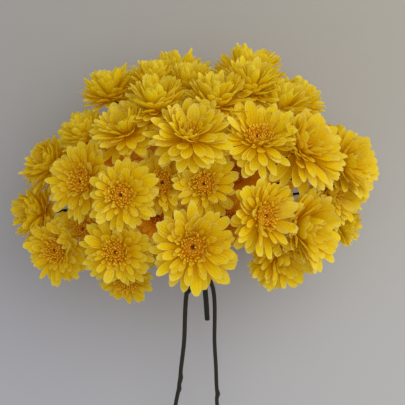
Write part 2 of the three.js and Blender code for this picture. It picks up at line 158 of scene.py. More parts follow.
L, R, M = Side.LEFT, Side.RIGHT, Side.MIDDLE
OPEN, BOWL, HIDDEN = Habit.OPEN, Habit.BOWL, Habit.HIDDEN
BLOOMS: tuple[BloomPlace, ...] = (
    # the front of the dome, from the bottom up
    BloomPlace(L, -71, 11, 128, 60, (0, -0.65, 0.75), OPEN),
    BloomPlace(R, 85, 40, 160, 79, (0.35, -0.45, 0.8), BOWL),
    BloomPlace(L, -35, 46, 137, 52, (-0.05, -0.2, 0.97), OPEN),
    BloomPlace(L, -81, 43, 182, 76, (-0.12, -0.1, 1), OPEN),
    BloomPlace(L, -141, 45, 132, 79, (-0.35, -0.1, 0.9), OPEN),
    BloomPlace(M, -4, 48, 200, 91, (0.02, -0.05, 1), OPEN),
    BloomPlace(L, -113, 66, 138, 73, (-0.3, 0.05, 0.95), OPEN),
    BloomPlace(R, 105, 66, 163, 94, (0.65, -0.12, 0.75), BOWL),
    BloomPlace(R, 31, 76, 156, 64, (0.1, -0.05, 1), OPEN),
    BloomPlace(R, 141, 74, 94, 62, (0.8, -0.35, 0.45)),
    BloomPlace(L, -38, 79, 160, 67, (-0.05, 0, 1), OPEN),
    BloomPlace(R, 68, 79, 190, 87, (0.55, 0.02, 0.83), OPEN),
    BloomPlace(L, -156, 83, 106, 74, (-0.85, -0.05, 0.5)),
    BloomPlace(L, -76, 100, 196, 76, (-0.1, 0.05, 1), OPEN),
    BloomPlace(R, 136, 102, 124, 73, (0.55, -0.1, 0.83), BOWL),
    BloomPlace(L, -35, 112, 178, 75, (0.1, 0.15, 1), OPEN),
    BloomPlace(M, 7, 111, 184, 74, (-0.05, 0.12, 1), OPEN),
    BloomPlace(L, -115, 114, 166, 88, (-0.5, 0.12, 0.85), OPEN),
    BloomPlace(R, 40, 120, 148, 73, (0.1, 0.2, 1), OPEN),
    BloomPlace(R, 148, 130, 126, 83, (0.6, 0.15, 0.78), BOWL),
    BloomPlace(L, -143, 129, 112, 74, (-0.72, 0.4, 0.55)),
    BloomPlace(L, -76, 138, 149, 70, (-0.2, 0.25, 0.95), BOWL),
    BloomPlace(R, 105, 147, 164, 95, (0.5, 0.45, 0.74), BOWL),
    BloomPlace(R, 61, 158, 183, 88, (0.05, 0.6, 0.8), OPEN),
    BloomPlace(M, -7, 160, 188, 87, (0, 0.6, 0.8), BOWL),
    BloomPlace(L, -50, 158, 148, 67, (-0.1, 0.5, 0.85), BOWL),
    BloomPlace(L, -108, 157, 132, 68, (-0.45, 0.82, 0.35)),
    BloomPlace(L, -71, 164, 166, 78, (-0.35, 0.7, 0.62), BOWL),
    BloomPlace(M, 33, 176, 138, 65, (0.1, 0.5, 0.85), BOWL),
    BloomPlace(R, 81, 186, 146, 74, (0.25, 0.82, 0.5)),
    BloomPlace(M, -40, 188, 168, 80, (-0.1, 0.85, 0.5)),
    BloomPlace(R, 95, 190, 120, 77, (0.45, 0.8, 0.38)),
    BloomPlace(M, 19, 192, 170, 78, (0.05, 0.85, 0.5)),
    BloomPlace(L, -86, 200, 118, 75, (-0.2, 0.93, 0.3)),
    BloomPlace(R, 53, 205, 150, 78, (0.08, 0.88, 0.45)),
    BloomPlace(M, -8, 207, 142, 68, (0, 0.9, 0.42)),
    BloomPlace(M, -42, 210, 130, 70, (-0.1, 0.9, 0.4)),
    BloomPlace(M, -20, 212, 86, 89, (0, 0.97, 0.1)),
    BloomPlace(M, 49, 216, 100, 93, (0.05, 0.95, 0.2)),
    BloomPlace(M, -16, 122, 140, 62, (0, 0.15, 1), OPEN),
    # the back of the dome, which the bunch lies on
    BloomPlace(L, -87, 52, 56, 71, (-0.3, -0.3, -0.9), HIDDEN),
    BloomPlace(R, 62, 72, 26, 71, (0.15, -0.2, -0.95), HIDDEN),
    BloomPlace(R, 118, 80, 48, 74, (0.5, -0.1, -0.85), HIDDEN),
    BloomPlace(L, -28, 82, 18, 74, (0, -0.15, -0.97), HIDDEN),
    BloomPlace(L, -92, 108, 24, 76, (-0.3, 0, -0.95), HIDDEN),
    BloomPlace(M, 18, 112, 14, 71, (0.05, 0, -1), HIDDEN),
    BloomPlace(R, 72, 126, 20, 74, (0.15, 0.05, -0.97), HIDDEN),
    BloomPlace(M, -36, 146, 16, 76, (-0.1, 0.1, -0.97), HIDDEN),
    BloomPlace(R, 132, 146, 70, 68, (0.65, 0.3, -0.65), HIDDEN),
    BloomPlace(L, -114, 156, 58, 76, (-0.5, 0.4, -0.75), HIDDEN),
    BloomPlace(M, 30, 168, 20, 74, (0.1, 0.3, -0.95), HIDDEN),
    BloomPlace(R, 92, 184, 58, 74, (0.4, 0.6, -0.7), HIDDEN),
    BloomPlace(L, -62, 200, 62, 74, (-0.2, 0.75, -0.6), HIDDEN),
    BloomPlace(M, 16, 204, 50, 66, (0.1, 0.75, -0.65), HIDDEN),
)

# The blooms that are seen only through gaps between others, which are painted a deeper, oranger yellow as painted
# shade
SHADED = (9, 11, 19, 22, 26, 29, 44, 46, 47, 48)

# Blooms beyond this line, at the end of the dome nearest the lamps, are painted a paler, greener yellow as painted
# light
TOP_LIT_ABOVE = 150.0


@dataclass(frozen=True)
class StemPoint:
    """A point that a stem passes through, and its radius there."""

    at: Triple
    radius: float


# The stems, from the cut ends up. The short swellings are the joints that the lower leaves were taken from.
STEMS: dict[Side, tuple[StemPoint, ...]] = {
    Side.LEFT: (
        StemPoint((-42, -250, 1.9), 2.2),
        StemPoint((-22.9, -121, 42), 2.1),
        StemPoint((-20.4, -108, 46.4), 2.1),
        StemPoint((-19, -103, 48), 2.6),
        StemPoint((-18.9, -98.5, 49.6), 2.1),
        StemPoint((-17.3, -90.5, 52), 2.6),
        StemPoint((-17.3, -85, 53.6), 2.1),
        StemPoint((-13.6, -52, 63.6), 2.2),
        StemPoint((-10.4, 2, 79), 2.3),
        StemPoint((-1.8, 35, 89.2), 2.4),
        StemPoint((-26, 72, 99), 2.2),
        StemPoint((-56, 118, 104), 2.0),
        StemPoint((-74, 164, 104), 1.6),
    ),
    Side.RIGHT: (
        StemPoint((27, -250, 1.9), 2.1),
        StemPoint((20.9, -121, 42), 2.0),
        StemPoint((20.6, -114, 44.6), 2.0),
        StemPoint((21.5, -108.8, 46.4), 2.6),
        StemPoint((20.5, -103, 48.2), 2.0),
        StemPoint((19.5, -79, 55), 2.0),
        StemPoint((18, -53, 62), 2.0),
        StemPoint((16.8, 2, 79), 2.1),
        StemPoint((7.4, 35, 89.2), 2.3),
        StemPoint((38, 72, 99), 2.2),
        StemPoint((66, 118, 104), 2.0),
        StemPoint((84, 164, 104), 1.6),
    ),
    Side.MIDDLE: (
        StemPoint((10.5, -29, 60), 2.6),
        StemPoint((8, 4, 74), 2.7),
        StemPoint((2.8, 35, 86.6), 2.6),
        StemPoint((2, 80, 92), 2.4),
        StemPoint((-2, 125, 96), 2.1),
        StemPoint((-6, 186, 98), 1.6),
    ),
}


@dataclass(frozen=True)
class Stub:
    """What is left of a side shoot that was cut short."""

    side: Side
    start: Triple
    end: Triple
    radius: float


STUB = Stub(Side.LEFT, (-10.6, -2, 77.6), (-4.4, 6.5, 84), 1.3)


@dataclass(frozen=True)
class LeafPlace:
    """A leaf left on: the bloom whose stalk bears it, how far up the stalk, the way it points and its length."""

    stalk: int
    up: float
    points: Triple
    long: float


LEAVES = (
    LeafPlace(8, 0.5, (-0.6, 0.2, 0.6), 24),
    LeafPlace(19, 0.5, (0.3, 0.8, 0.4), 26),
    LeafPlace(21, 0.5, (-0.7, 0.5, 0.3), 24),
    LeafPlace(24, 0.5, (0.8, 0.3, 0.4), 26),
    LeafPlace(18, 0.5, (0.2, -0.7, 0.5), 24),
    LeafPlace(12, 0.5, (0.7, -0.5, 0.4), 26),
    LeafPlace(6, 0.5, (0.3, -0.8, 0.2), 24),
    LeafPlace(4, 0.5, (-0.6, -0.6, 0.3), 24),
    LeafPlace(33, 0.5, (0.5, 0.5, 0.4), 22),
)


# ---- small geometry ----


def unit(v: Array) -> Array:
    """A vector drawn to length 1."""
    return v / np.linalg.norm(v)


def between(ends: Pair, share: float) -> float:
    """The number at a share of the way from the first of two to the second."""
    return ends[0] + (ends[1] - ends[0]) * share


def nothing_selected() -> None:
    """Leaves edit mode and deselects every object."""
    if bpy.context.object and bpy.context.object.mode != "OBJECT":
        bpy.ops.object.mode_set(mode="OBJECT")
    bpy.ops.object.select_all(action="DESELECT")


def linked(name: str, data: bpy.types.ID) -> bpy.types.Object:
    """Puts data in the scene as an object, which alone is selected.

    Args:
        name: the object's name.
        data: its mesh or curve.

    Returns:
        The object.
    """
    made = bpy.data.objects.new(name, data)
    bpy.context.scene.collection.objects.link(made)
    nothing_selected()
    made.select_set(True)
    bpy.context.view_layer.objects.active = made
    return made


# ---- petal blanks ----


@dataclass(frozen=True)
class Outline:
    """The outline of a petal of unit length, as half widths that are 1 where it is widest.

    claw is the half width at the root, widest the place of the widest part, blunt how round the tip is, and notch
    how far the middle of the tip is drawn back.
    """

    claw: float
    widest: float
    blunt: float
    notch: float = 0.0

    def half_width(self, along: float) -> float:
        """The half width at one place.

        Args:
            along: the place, as a share of the length from the root.

        Returns:
            The half width, as a share of the widest.
        """
        if along < self.widest:
            s = along / self.widest
            return self.claw + (1 - self.claw) * s * s * (3 - 2 * s)
        s = (along - self.widest) / (1 - self.widest)
        return (1 - s * s) ** (1 / self.blunt)


@dataclass(frozen=True)
class LobedOutline(Outline):
    """The outline of a leaf, cut into lobes on either side.

    lobes is how many the leaf's length has room for, cut how deep the cuts between them are, and from_root and
    from_tip how fast the cuts deepen from either end.
    """

    lobes: float = 3.0
    cut: float = 0.5
    from_root: float = 5.0
    from_tip: float = 4.0

    def half_width(self, along: float) -> float:
        """The half width at one place.

        Args:
            along: the place, as a share of the length from the root.

        Returns:
            The half width, as a share of the widest.
        """
        lobe = 0.5 + 0.5 * math.cos(2 * math.pi * self.lobes * (along - self.widest))
        inside = min(1.0, self.from_root * along, self.from_tip * (1 - along))
        return super().half_width(along) * (1 - self.cut * inside * (1 - lobe))


class PetalKind(Enum):
    """The kinds of blade, from the rim of a bloom to its eye, and then the green ones."""

    BROAD = Outline(claw=0.34, widest=0.66, blunt=2.0)
    NOTCHED = Outline(claw=0.32, widest=0.7, blunt=2.3, notch=0.08)
    POINTED = Outline(claw=0.36, widest=0.62, blunt=1.7)
    SPOON = Outline(claw=0.36, widest=0.72, blunt=2.2)
    FLORET = Outline(claw=0.5, widest=0.78, blunt=2.4)
    BRACT = Outline(claw=0.9, widest=0.3, blunt=1.2)
    LEAF = LobedOutline(claw=0.12, widest=0.55, blunt=1.4)


@dataclass
class Blank:
    """A flat closed petal of unit length, modelled once: every petal of its kind is a bent copy of it.

    It starts as a ball with its poles at root and tip, whose rings are drawn out to the outline and pressed thin.
    points, aside, width, corners, sizes and places are read from it: its points, how far to the side each lies from
    -1 to 1, the half width there, the corners and sizes of its faces, and its UV map.

    end_thickness is how thick it stays at root and tip, as a share of its middle. The UV map spans map_width of its
    width, and near is how close two places count as one.
    """

    kind: PetalKind
    segments: int
    rings: int
    end_thickness: float = 0.45
    map_width: float = 0.98
    near: float = 1e-3
    points: Array = field(init=False)
    aside: Array = field(init=False)
    width: Array = field(init=False)
    corners: Array = field(init=False)
    sizes: Array = field(init=False)
    places: Array = field(init=False)

    def __post_init__(self) -> None:
        """Models the blank and reads it."""
        mesh = self.modelled()
        self.read(mesh)
        bpy.data.meshes.remove(mesh)

    def modelled(self) -> bpy.types.Mesh:
        """Models the blank with operators.

        Returns:
            Its mesh, along +X from the root at 0 to the tip at 1, with half widths and half thicknesses of up to 1.
        """
        nothing_selected()
        bpy.ops.mesh.primitive_uv_sphere_add(
            segments=self.segments,
            ring_count=self.rings,
            radius=0.5,
            location=(0.5, 0, 0),
            rotation=(0, math.pi / 2, 0),
        )
        blank = bpy.context.object
        bpy.ops.object.transform_apply(location=True, rotation=True, scale=True)
        bpy.ops.object.mode_set(mode="EDIT")
        bm = bmesh.from_edit_mesh(blank.data)
        for step in range(1, self.rings):
            turn = math.pi * step / self.rings
            along = 0.5 - 0.5 * math.cos(turn)
            for vertex in bm.verts:
                vertex.select_set(abs(vertex.co.x - along) < self.near)
            bm.select_flush_mode()
            radius = 0.5 * math.sin(turn)
            wide = self.kind.value.half_width(along) / radius
            thick = (self.end_thickness + (1 - self.end_thickness) * math.sin(turn)) / radius
            bpy.ops.transform.resize(value=(1, wide, thick), center_override=(along, 0, 0))
        if self.kind.value.notch:
            for vertex in bm.verts:
                vertex.select_set(vertex.co.x > 1 - self.near)
            bm.select_flush_mode()
            bpy.ops.transform.translate(value=(-self.kind.value.notch, 0, 0))
        bpy.ops.object.mode_set(mode="OBJECT")
        mesh = blank.data
        bpy.data.objects.remove(blank)
        return mesh

    def read(self, mesh: bpy.types.Mesh) -> None:
        """Reads the blank's points and faces, and lays its UV map: along it, and across it.

        The underside's places across are moved on by 1, so that a finish can tell it from the face. The map stops a
        little short of the rims, so that the two sides don't meet there.

        Args:
            mesh: the modelled blank.
        """
        points = np.empty(len(mesh.vertices) * 3)
        mesh.vertices.foreach_get("co", points)
        self.points = points.reshape(-1, 3)
        self.corners = np.empty(len(mesh.loops), int)
        mesh.loops.foreach_get("vertex_index", self.corners)
        self.sizes = np.empty(len(mesh.polygons), int)
        mesh.polygons.foreach_get("loop_total", self.sizes)
        along = np.clip(self.points[:, 0], 0, 1)
        self.width = np.array([self.kind.value.half_width(a) for a in along])
        self.aside = np.clip(self.points[:, 1] / np.maximum(self.width, self.near), -1, 1)
        normals = np.empty(len(mesh.polygons) * 3)
        mesh.polygons.foreach_get("normal", normals)
        under = np.repeat(normals.reshape(-1, 3)[:, 2] < 0, self.sizes)
        across = 0.5 + 0.5 * self.aside[self.corners] * self.map_width
        self.places = np.stack([along[self.corners], across + under], axis=1)


@dataclass(frozen=True)
class Bend:
    """How one petal is bent from its blank: sizes in millimetres and angles in radians.

    rise is the petal's angle at its root, above square to the bloom's axis, and incurve how much more it has turned
    at its tip. cup is half of the angle that its cross-section turns through.
    """

    ROOT_CUP: ClassVar[float] = 0.9  # how much more the root is cupped than the tip
    CUP_LIMITS: ClassVar[Pair] = (0.05, 1.45)
    CHANNELS: ClassVar[float] = 0.07  # how deep the channels along a petal are, as a share of its half width
    WAVES: ClassVar[Pair] = (1.3, 0.2)  # how many waves the rims have, and where in a wave they start
    LATE: ClassVar[float] = 1.7  # how much later than evenly the petal curves in
    STEPS: ClassVar[int] = 25

    length: float
    half_width: float
    thickness: float
    rise: float
    incurve: float
    cup: float
    twist: float = 0.0
    wave: float = 0.0

    def applied(self, blank: Blank) -> Array:
        """The blank's points, bent.

        Args:
            blank: the blank to bend.

        Returns:
            One row a point: out from the root, to the side, and up along the bloom's axis.
        """
        x = blank.points[:, 0]
        s = blank.aside
        wide = blank.width * self.half_width
        thick = blank.points[:, 2] * self.thickness / 2

        # across: the cup, the channels, the waves of the rims and the twist
        theta = np.clip(self.cup * (1 + self.ROOT_CUP * (1 - x) ** 2), *self.CUP_LIMITS)
        side = wide * np.sin(theta * s) / theta - np.sin(theta * s) * thick
        lift = wide * (1 - np.cos(theta * s)) / theta + np.cos(theta * s) * thick
        lift += self.CHANNELS * wide * np.cos(2 * math.pi * s) * np.sin(math.pi * x)
        lift += self.wave * wide * s * np.sin(2 * math.pi * (self.WAVES[0] * x + self.WAVES[1])) * x
        turn = self.twist * x
        side, lift = side * np.cos(turn) - lift * np.sin(turn), side * np.sin(turn) + lift * np.cos(turn)

        # along: the middle line, which rises and curves in
        t = np.linspace(0, 1, self.STEPS)
        angle = self.rise + self.incurve * t**self.LATE
        step = t[1] * self.length
        out = np.concatenate([[0], np.cumsum((np.cos(angle[1:]) + np.cos(angle[:-1])) / 2)]) * step
        up = np.concatenate([[0], np.cumsum((np.sin(angle[1:]) + np.sin(angle[:-1])) / 2)]) * step
        here = np.interp(x, t, angle)
        out = np.interp(x, t, out) - lift * np.sin(here)
        up = np.interp(x, t, up) + lift * np.cos(here)
        return np.stack([out, side, up], axis=1)


class Bundle:
    """Copies of blanks that are gathered into one mesh."""

    SMOOTH_UNDER: ClassVar[float] = math.radians(60)  # edges that turn less are shaded smooth

    def __init__(self) -> None:
        """Starts empty."""
        self.points: list[Array] = []
        self.corners: list[Array] = []
        self.sizes: list[Array] = []
        self.places: list[Array] = []
        self.marks: list[Array] = []
        self.count = 0

    def add(self, blank: Blank, points: Array, chance: float, age: float) -> None:
        """Adds one copy.

        Args:
            blank: the blank that was copied.
            points: the copy's own points, in millimetres in the part's frame.
            chance: a number from 0 to 1 that is the copy's own.
            age: how near the eye it grows, from 0 at the rim to 1.
        """
        self.points.append(points)
        self.corners.append(blank.corners + self.count)
        self.sizes.append(blank.sizes)
        self.places.append(blank.places)
        self.marks.append(np.tile([chance, age], (len(blank.corners), 1)))
        self.count += len(points)

    def made(self, name: str, finish: bpy.types.Material) -> bpy.types.Object:
        """Makes the gathered copies one object.

        Args:
            name: the object's name.
            finish: its material.

        Returns:
            The object, shaded smooth but for the thin rims.
        """
        mesh = bpy.data.meshes.new(name)
        corners = np.concatenate(self.corners)
        sizes = np.concatenate(self.sizes)
        mesh.vertices.add(self.count)
        mesh.vertices.foreach_set("co", (np.concatenate(self.points) * MM).ravel())
        mesh.loops.add(len(corners))
        mesh.loops.foreach_set("vertex_index", corners)
        mesh.polygons.add(len(sizes))
        mesh.polygons.foreach_set("loop_start", np.concatenate([[0], np.cumsum(sizes)[:-1]]))
        mesh.polygons.foreach_set("loop_total", sizes)
        for layer, rows in (("Petal", self.places), ("Growth", self.marks)):
            uv = mesh.uv_layers.new(name=layer)
            uv.data.foreach_set("uv", np.concatenate(rows).ravel())
        mesh.update(calc_edges=True)
        mesh.materials.append(finish)
        made = linked(name, mesh)
        bpy.ops.object.shade_smooth_by_angle(angle=self.SMOOTH_UNDER)
        return made


# ---- blooms ----


@dataclass(frozen=True)
class Layer:
    """One layer of petals.

    Lengths are shares of the bloom's reach, half widths are shares of the length, and angles are degrees. root is
    where it grows on the heart: a share of the bloom's radius, and a height in millimetres.
    """

    count: int
    kinds: tuple[PetalKind, ...]
    length: float
    half_width: float
    rise: float
    incurve: float
    cup: float
    root: Pair


BROAD, NOTCHED, POINTED, SPOON = PetalKind.BROAD, PetalKind.NOTCHED, PetalKind.POINTED, PetalKind.SPOON

OPEN_LAYERS = (
    Layer(16, (BROAD, NOTCHED, POINTED), 1.0, 0.185, -8, 0, 12, (0.24, 1.2)),
    Layer(17, (BROAD, NOTCHED, POINTED), 1.0, 0.178, 4, 4, 14, (0.24, 2.4)),
    Layer(16, (BROAD, NOTCHED, POINTED), 0.95, 0.172, 13, 8, 18, (0.24, 3.6)),
    Layer(15, (BROAD, SPOON, NOTCHED), 0.82, 0.172, 23, 12, 24, (0.25, 4.8)),
    Layer(14, (SPOON, BROAD), 0.56, 0.19, 36, 16, 34, (0.26, 5.9)),
    Layer(15, (SPOON,), 0.35, 0.21, 50, 20, 46, (0.27, 6.9)),
)
BOWL_LAYERS = (
    Layer(17, (BROAD, POINTED), 1.04, 0.195, -2, 4, 16, (0.2, 1.2)),
    Layer(18, (BROAD, POINTED), 1.07, 0.185, 10, 6, 18, (0.2, 2.4)),
    Layer(18, (BROAD, NOTCHED, POINTED), 1.07, 0.178, 22, 8, 21, (0.19, 3.4)),
    Layer(17, (BROAD, NOTCHED, POINTED), 1.02, 0.175, 34, 10, 25, (0.18, 4.4)),
    Layer(15, (BROAD, SPOON), 0.88, 0.178, 46, 12, 30, (0.17, 5.4)),
    Layer(13, (SPOON, BROAD), 0.64, 0.2, 54, 18, 38, (0.15, 6.2)),
    Layer(12, (SPOON,), 0.42, 0.24, 60, 22, 46, (0.13, 7.0)),
)
FULL_LAYERS = (
    Layer(18, (BROAD, POINTED), 0.97, 0.19, 1, 4, 18, (0.2, 1.2)),
    Layer(21, (BROAD, POINTED), 1.0, 0.175, 13, 6, 20, (0.2, 2.4)),
    Layer(22, (BROAD, POINTED), 1.0, 0.164, 25, 8, 23, (0.19, 3.4)),
    Layer(22, (BROAD, POINTED), 1.01, 0.154, 37, 9, 26, (0.18, 4.4)),
    Layer(21, (BROAD, POINTED), 1.04, 0.148, 49, 10, 28, (0.17, 5.4)),
    Layer(19, (SPOON, POINTED), 0.99, 0.146, 60, 10, 32, (0.15, 6.2)),
    Layer(14, (SPOON, BROAD), 0.78, 0.156, 68, 12, 38, (0.13, 7.0)),
    Layer(10, (SPOON,), 0.48, 0.18, 72, 16, 46, (0.11, 7.6)),
)
HIDDEN_LAYERS = (
    Layer(16, (BROAD,), 1.0, 0.19, -6, 0, 24, (0.2, 1.2)),
    Layer(15, (BROAD, POINTED), 0.97, 0.18, 14, 6, 30, (0.2, 3.0)),
    Layer(14, (SPOON, BROAD), 0.9, 0.175, 34, 10, 40, (0.17, 5.0)),
    Layer(11, (SPOON,), 0.78, 0.17, 54, 16, 48, (0.14, 6.6)),
)


@dataclass(frozen=True)
class Eye:
    """The eye of a bloom: florets on a low dome, in a spiral round a small hollow that is painted dark as painted
    shade.

    florets is how many a bloom of radius 40 mm has. radius, bare and length are shares of the bloom's radius: those
    of the eye, of its hollow and of a floret.
    """

    PER_RADIUS: ClassVar[float] = 40.0

    florets: int
    radius: float
    bare: float
    length: float


@dataclass(frozen=True)
class FloretRule:
    """How florets are made. The first of each pair is for the middle of the eye, and the second for its rim.

    length is a share of the eye's own length of florets, half_width and height are millimetres, and angles are
    degrees. Roots are drawn in by sunk. The last are the spreads of random draws.
    """

    length: Pair = (0.75, 1.45)
    half_width: Pair = (1.0, 1.35)
    height: Pair = (8.8, 7.2)
    rise: Pair = (88.0, 40.0)
    incurve: Pair = (30.0, 10.0)
    cup: float = 62.0
    sunk: float = 0.4
    thickness: float = 0.9

    length_spread: float = 0.16
    rise_spread: float = 11.0
    incurve_spread: float = 14.0
    twist_spread: float = 15.0


@dataclass(frozen=True)
class Heart:
    """The heart that petals and florets stand on: fat lobes that meet in one low dome.

    A lobe is as long as length of the bloom's radius and longer millimetres more, and half_width is a share of that.
    Angles are degrees, and root is a radius and a height in millimetres.
    """

    lobes: int = 8
    length: float = 0.26
    longer: float = 2.0
    half_width: float = 0.46
    thickness: float = 6.0
    rise: float = 4.0
    cup: float = 12.0
    root: Pair = (-1.6, 4.6)
    chance: float = 0.5


FLORETS = FloretRule()
HEART = Heart()


@dataclass(frozen=True)
class Plan:
    """How blooms of one habit are made.

    ripeness is how orange the innermost petals are, wild how unevenly petals grow, and weight how much they hang, so
    that those that point to the cut ends lie lower and reach further.
    """

    layers: tuple[Layer, ...]
    eye: Eye
    ripeness: float = 0.4
    wild: float = 0.55
    weight: float = 0.2


PLANS = {
    Habit.OPEN: Plan(OPEN_LAYERS, Eye(florets=95, radius=0.29, bare=0.07, length=0.13), 0.8, 1.0, 0.12),
    Habit.BOWL: Plan(BOWL_LAYERS, Eye(florets=34, radius=0.15, bare=0.03, length=0.2)),
    Habit.FULL: Plan(FULL_LAYERS, Eye(florets=20, radius=0.12, bare=0.03, length=0.4)),
    Habit.HIDDEN: Plan(HIDDEN_LAYERS, Eye(florets=16, radius=0.12, bare=0.03, length=0.35)),
}

# What a crowded petal tries in turn: the share of its length that it keeps, and how much it stands up
SETTLING = tuple(
    (keep, math.radians(stand))
    for keep, stand in (
        (1, 0), (1, 8), (0.95, 14), (0.95, 22), (0.9, 28), (0.88, 36), (0.84, 42), (0.8, 48), (0.74, 48), (0.68, 50),
        (0.6, 50), (0.5, 50), (0.4, 50),
    )
)  # fmt: skip

# What tells a finish florets and the heart from petals, whose ages stay under the first, and stray petals
PETAL_AGES, FLORET_AGE, HEART_AGE = 0.8, 0.9, 1.0
STRAY_CHANCE = 1.0


@dataclass(frozen=True)
class Variation:
    """How petals vary. Angles are degrees, apart from around and opens_to, which are radians, and the rest are shares.

    The first are the spreads of random draws. Strays are petals that stand out of their layer. Petals on the side
    that a bloom opens to first are longer and flatter and have yellower rims, and those that hang lie lower. chances
    are the least and the most that a petal's own chance is drawn as, before the side that opens first takes some off.
    """

    around: float = 0.1
    length: float = 0.12
    width: float = 0.12
    rise: float = 8.0
    incurve: float = 13.0
    cup: float = 0.18
    twist: float = 14.0
    wave: float = 0.12

    strays: float = 0.06
    stray_rise: float = 22.0
    stray_twist: float = 20.0

    opens_to: Pair = (math.pi / 4, 0.5)
    unfold: float = 0.2
    unfold_late: Pair = (2.0, 0.2)
    unfold_rise: float = 1.2
    unfold_incurve: float = 40.0
    opened_width: float = 0.1
    opened_cup: float = 0.35
    opened_chance: float = 0.25
    chances: Pair = (0.2, 0.8)
    most_chance: float = 0.9

    hang_length: float = 0.5
    hang_rise: float = 70.0
    hang_incurve: float = 60.0


VARY = Variation()


@dataclass
class Neighbours:
    """The planes between a bloom and those beside it, and the table under it, which its petals press on.

    Petals may reach past such a plane by overlap. Blooms with less than within between them are neighbours, and
    above_table is how high petals stay over the table.
    """

    place: BloomPlace
    overlap: float = 9.0
    within: float = 14.0
    above_table: float = 0.4
    towards: Array = field(init=False)
    room: Array = field(init=False)

    def __post_init__(self) -> None:
        """Finds the planes, each as a direction and its distance from the part's origin along that direction."""
        towards, room = [], []
        centre = self.place.centre
        for other in BLOOMS:
            apart = np.linalg.norm(other.centre - centre)
            if other is self.place or apart > (self.place.across + other.across) / 2 + self.within:
                continue
            share = self.place.across / (self.place.across + other.across)
            direction = (other.centre - centre) / apart
            towards.append(direction)
            room.append(direction @ centre + apart * share + self.overlap)
        towards.append(np.array([0, 0, -1.0]))
        room.append(-self.above_table)
        self.towards = np.array(towards)
        self.room = np.array(room)

    def pressed(self, points: Array) -> float:
        """How far some points reach past the tightest plane."""
        return float((points @ self.towards.T - self.room).max())


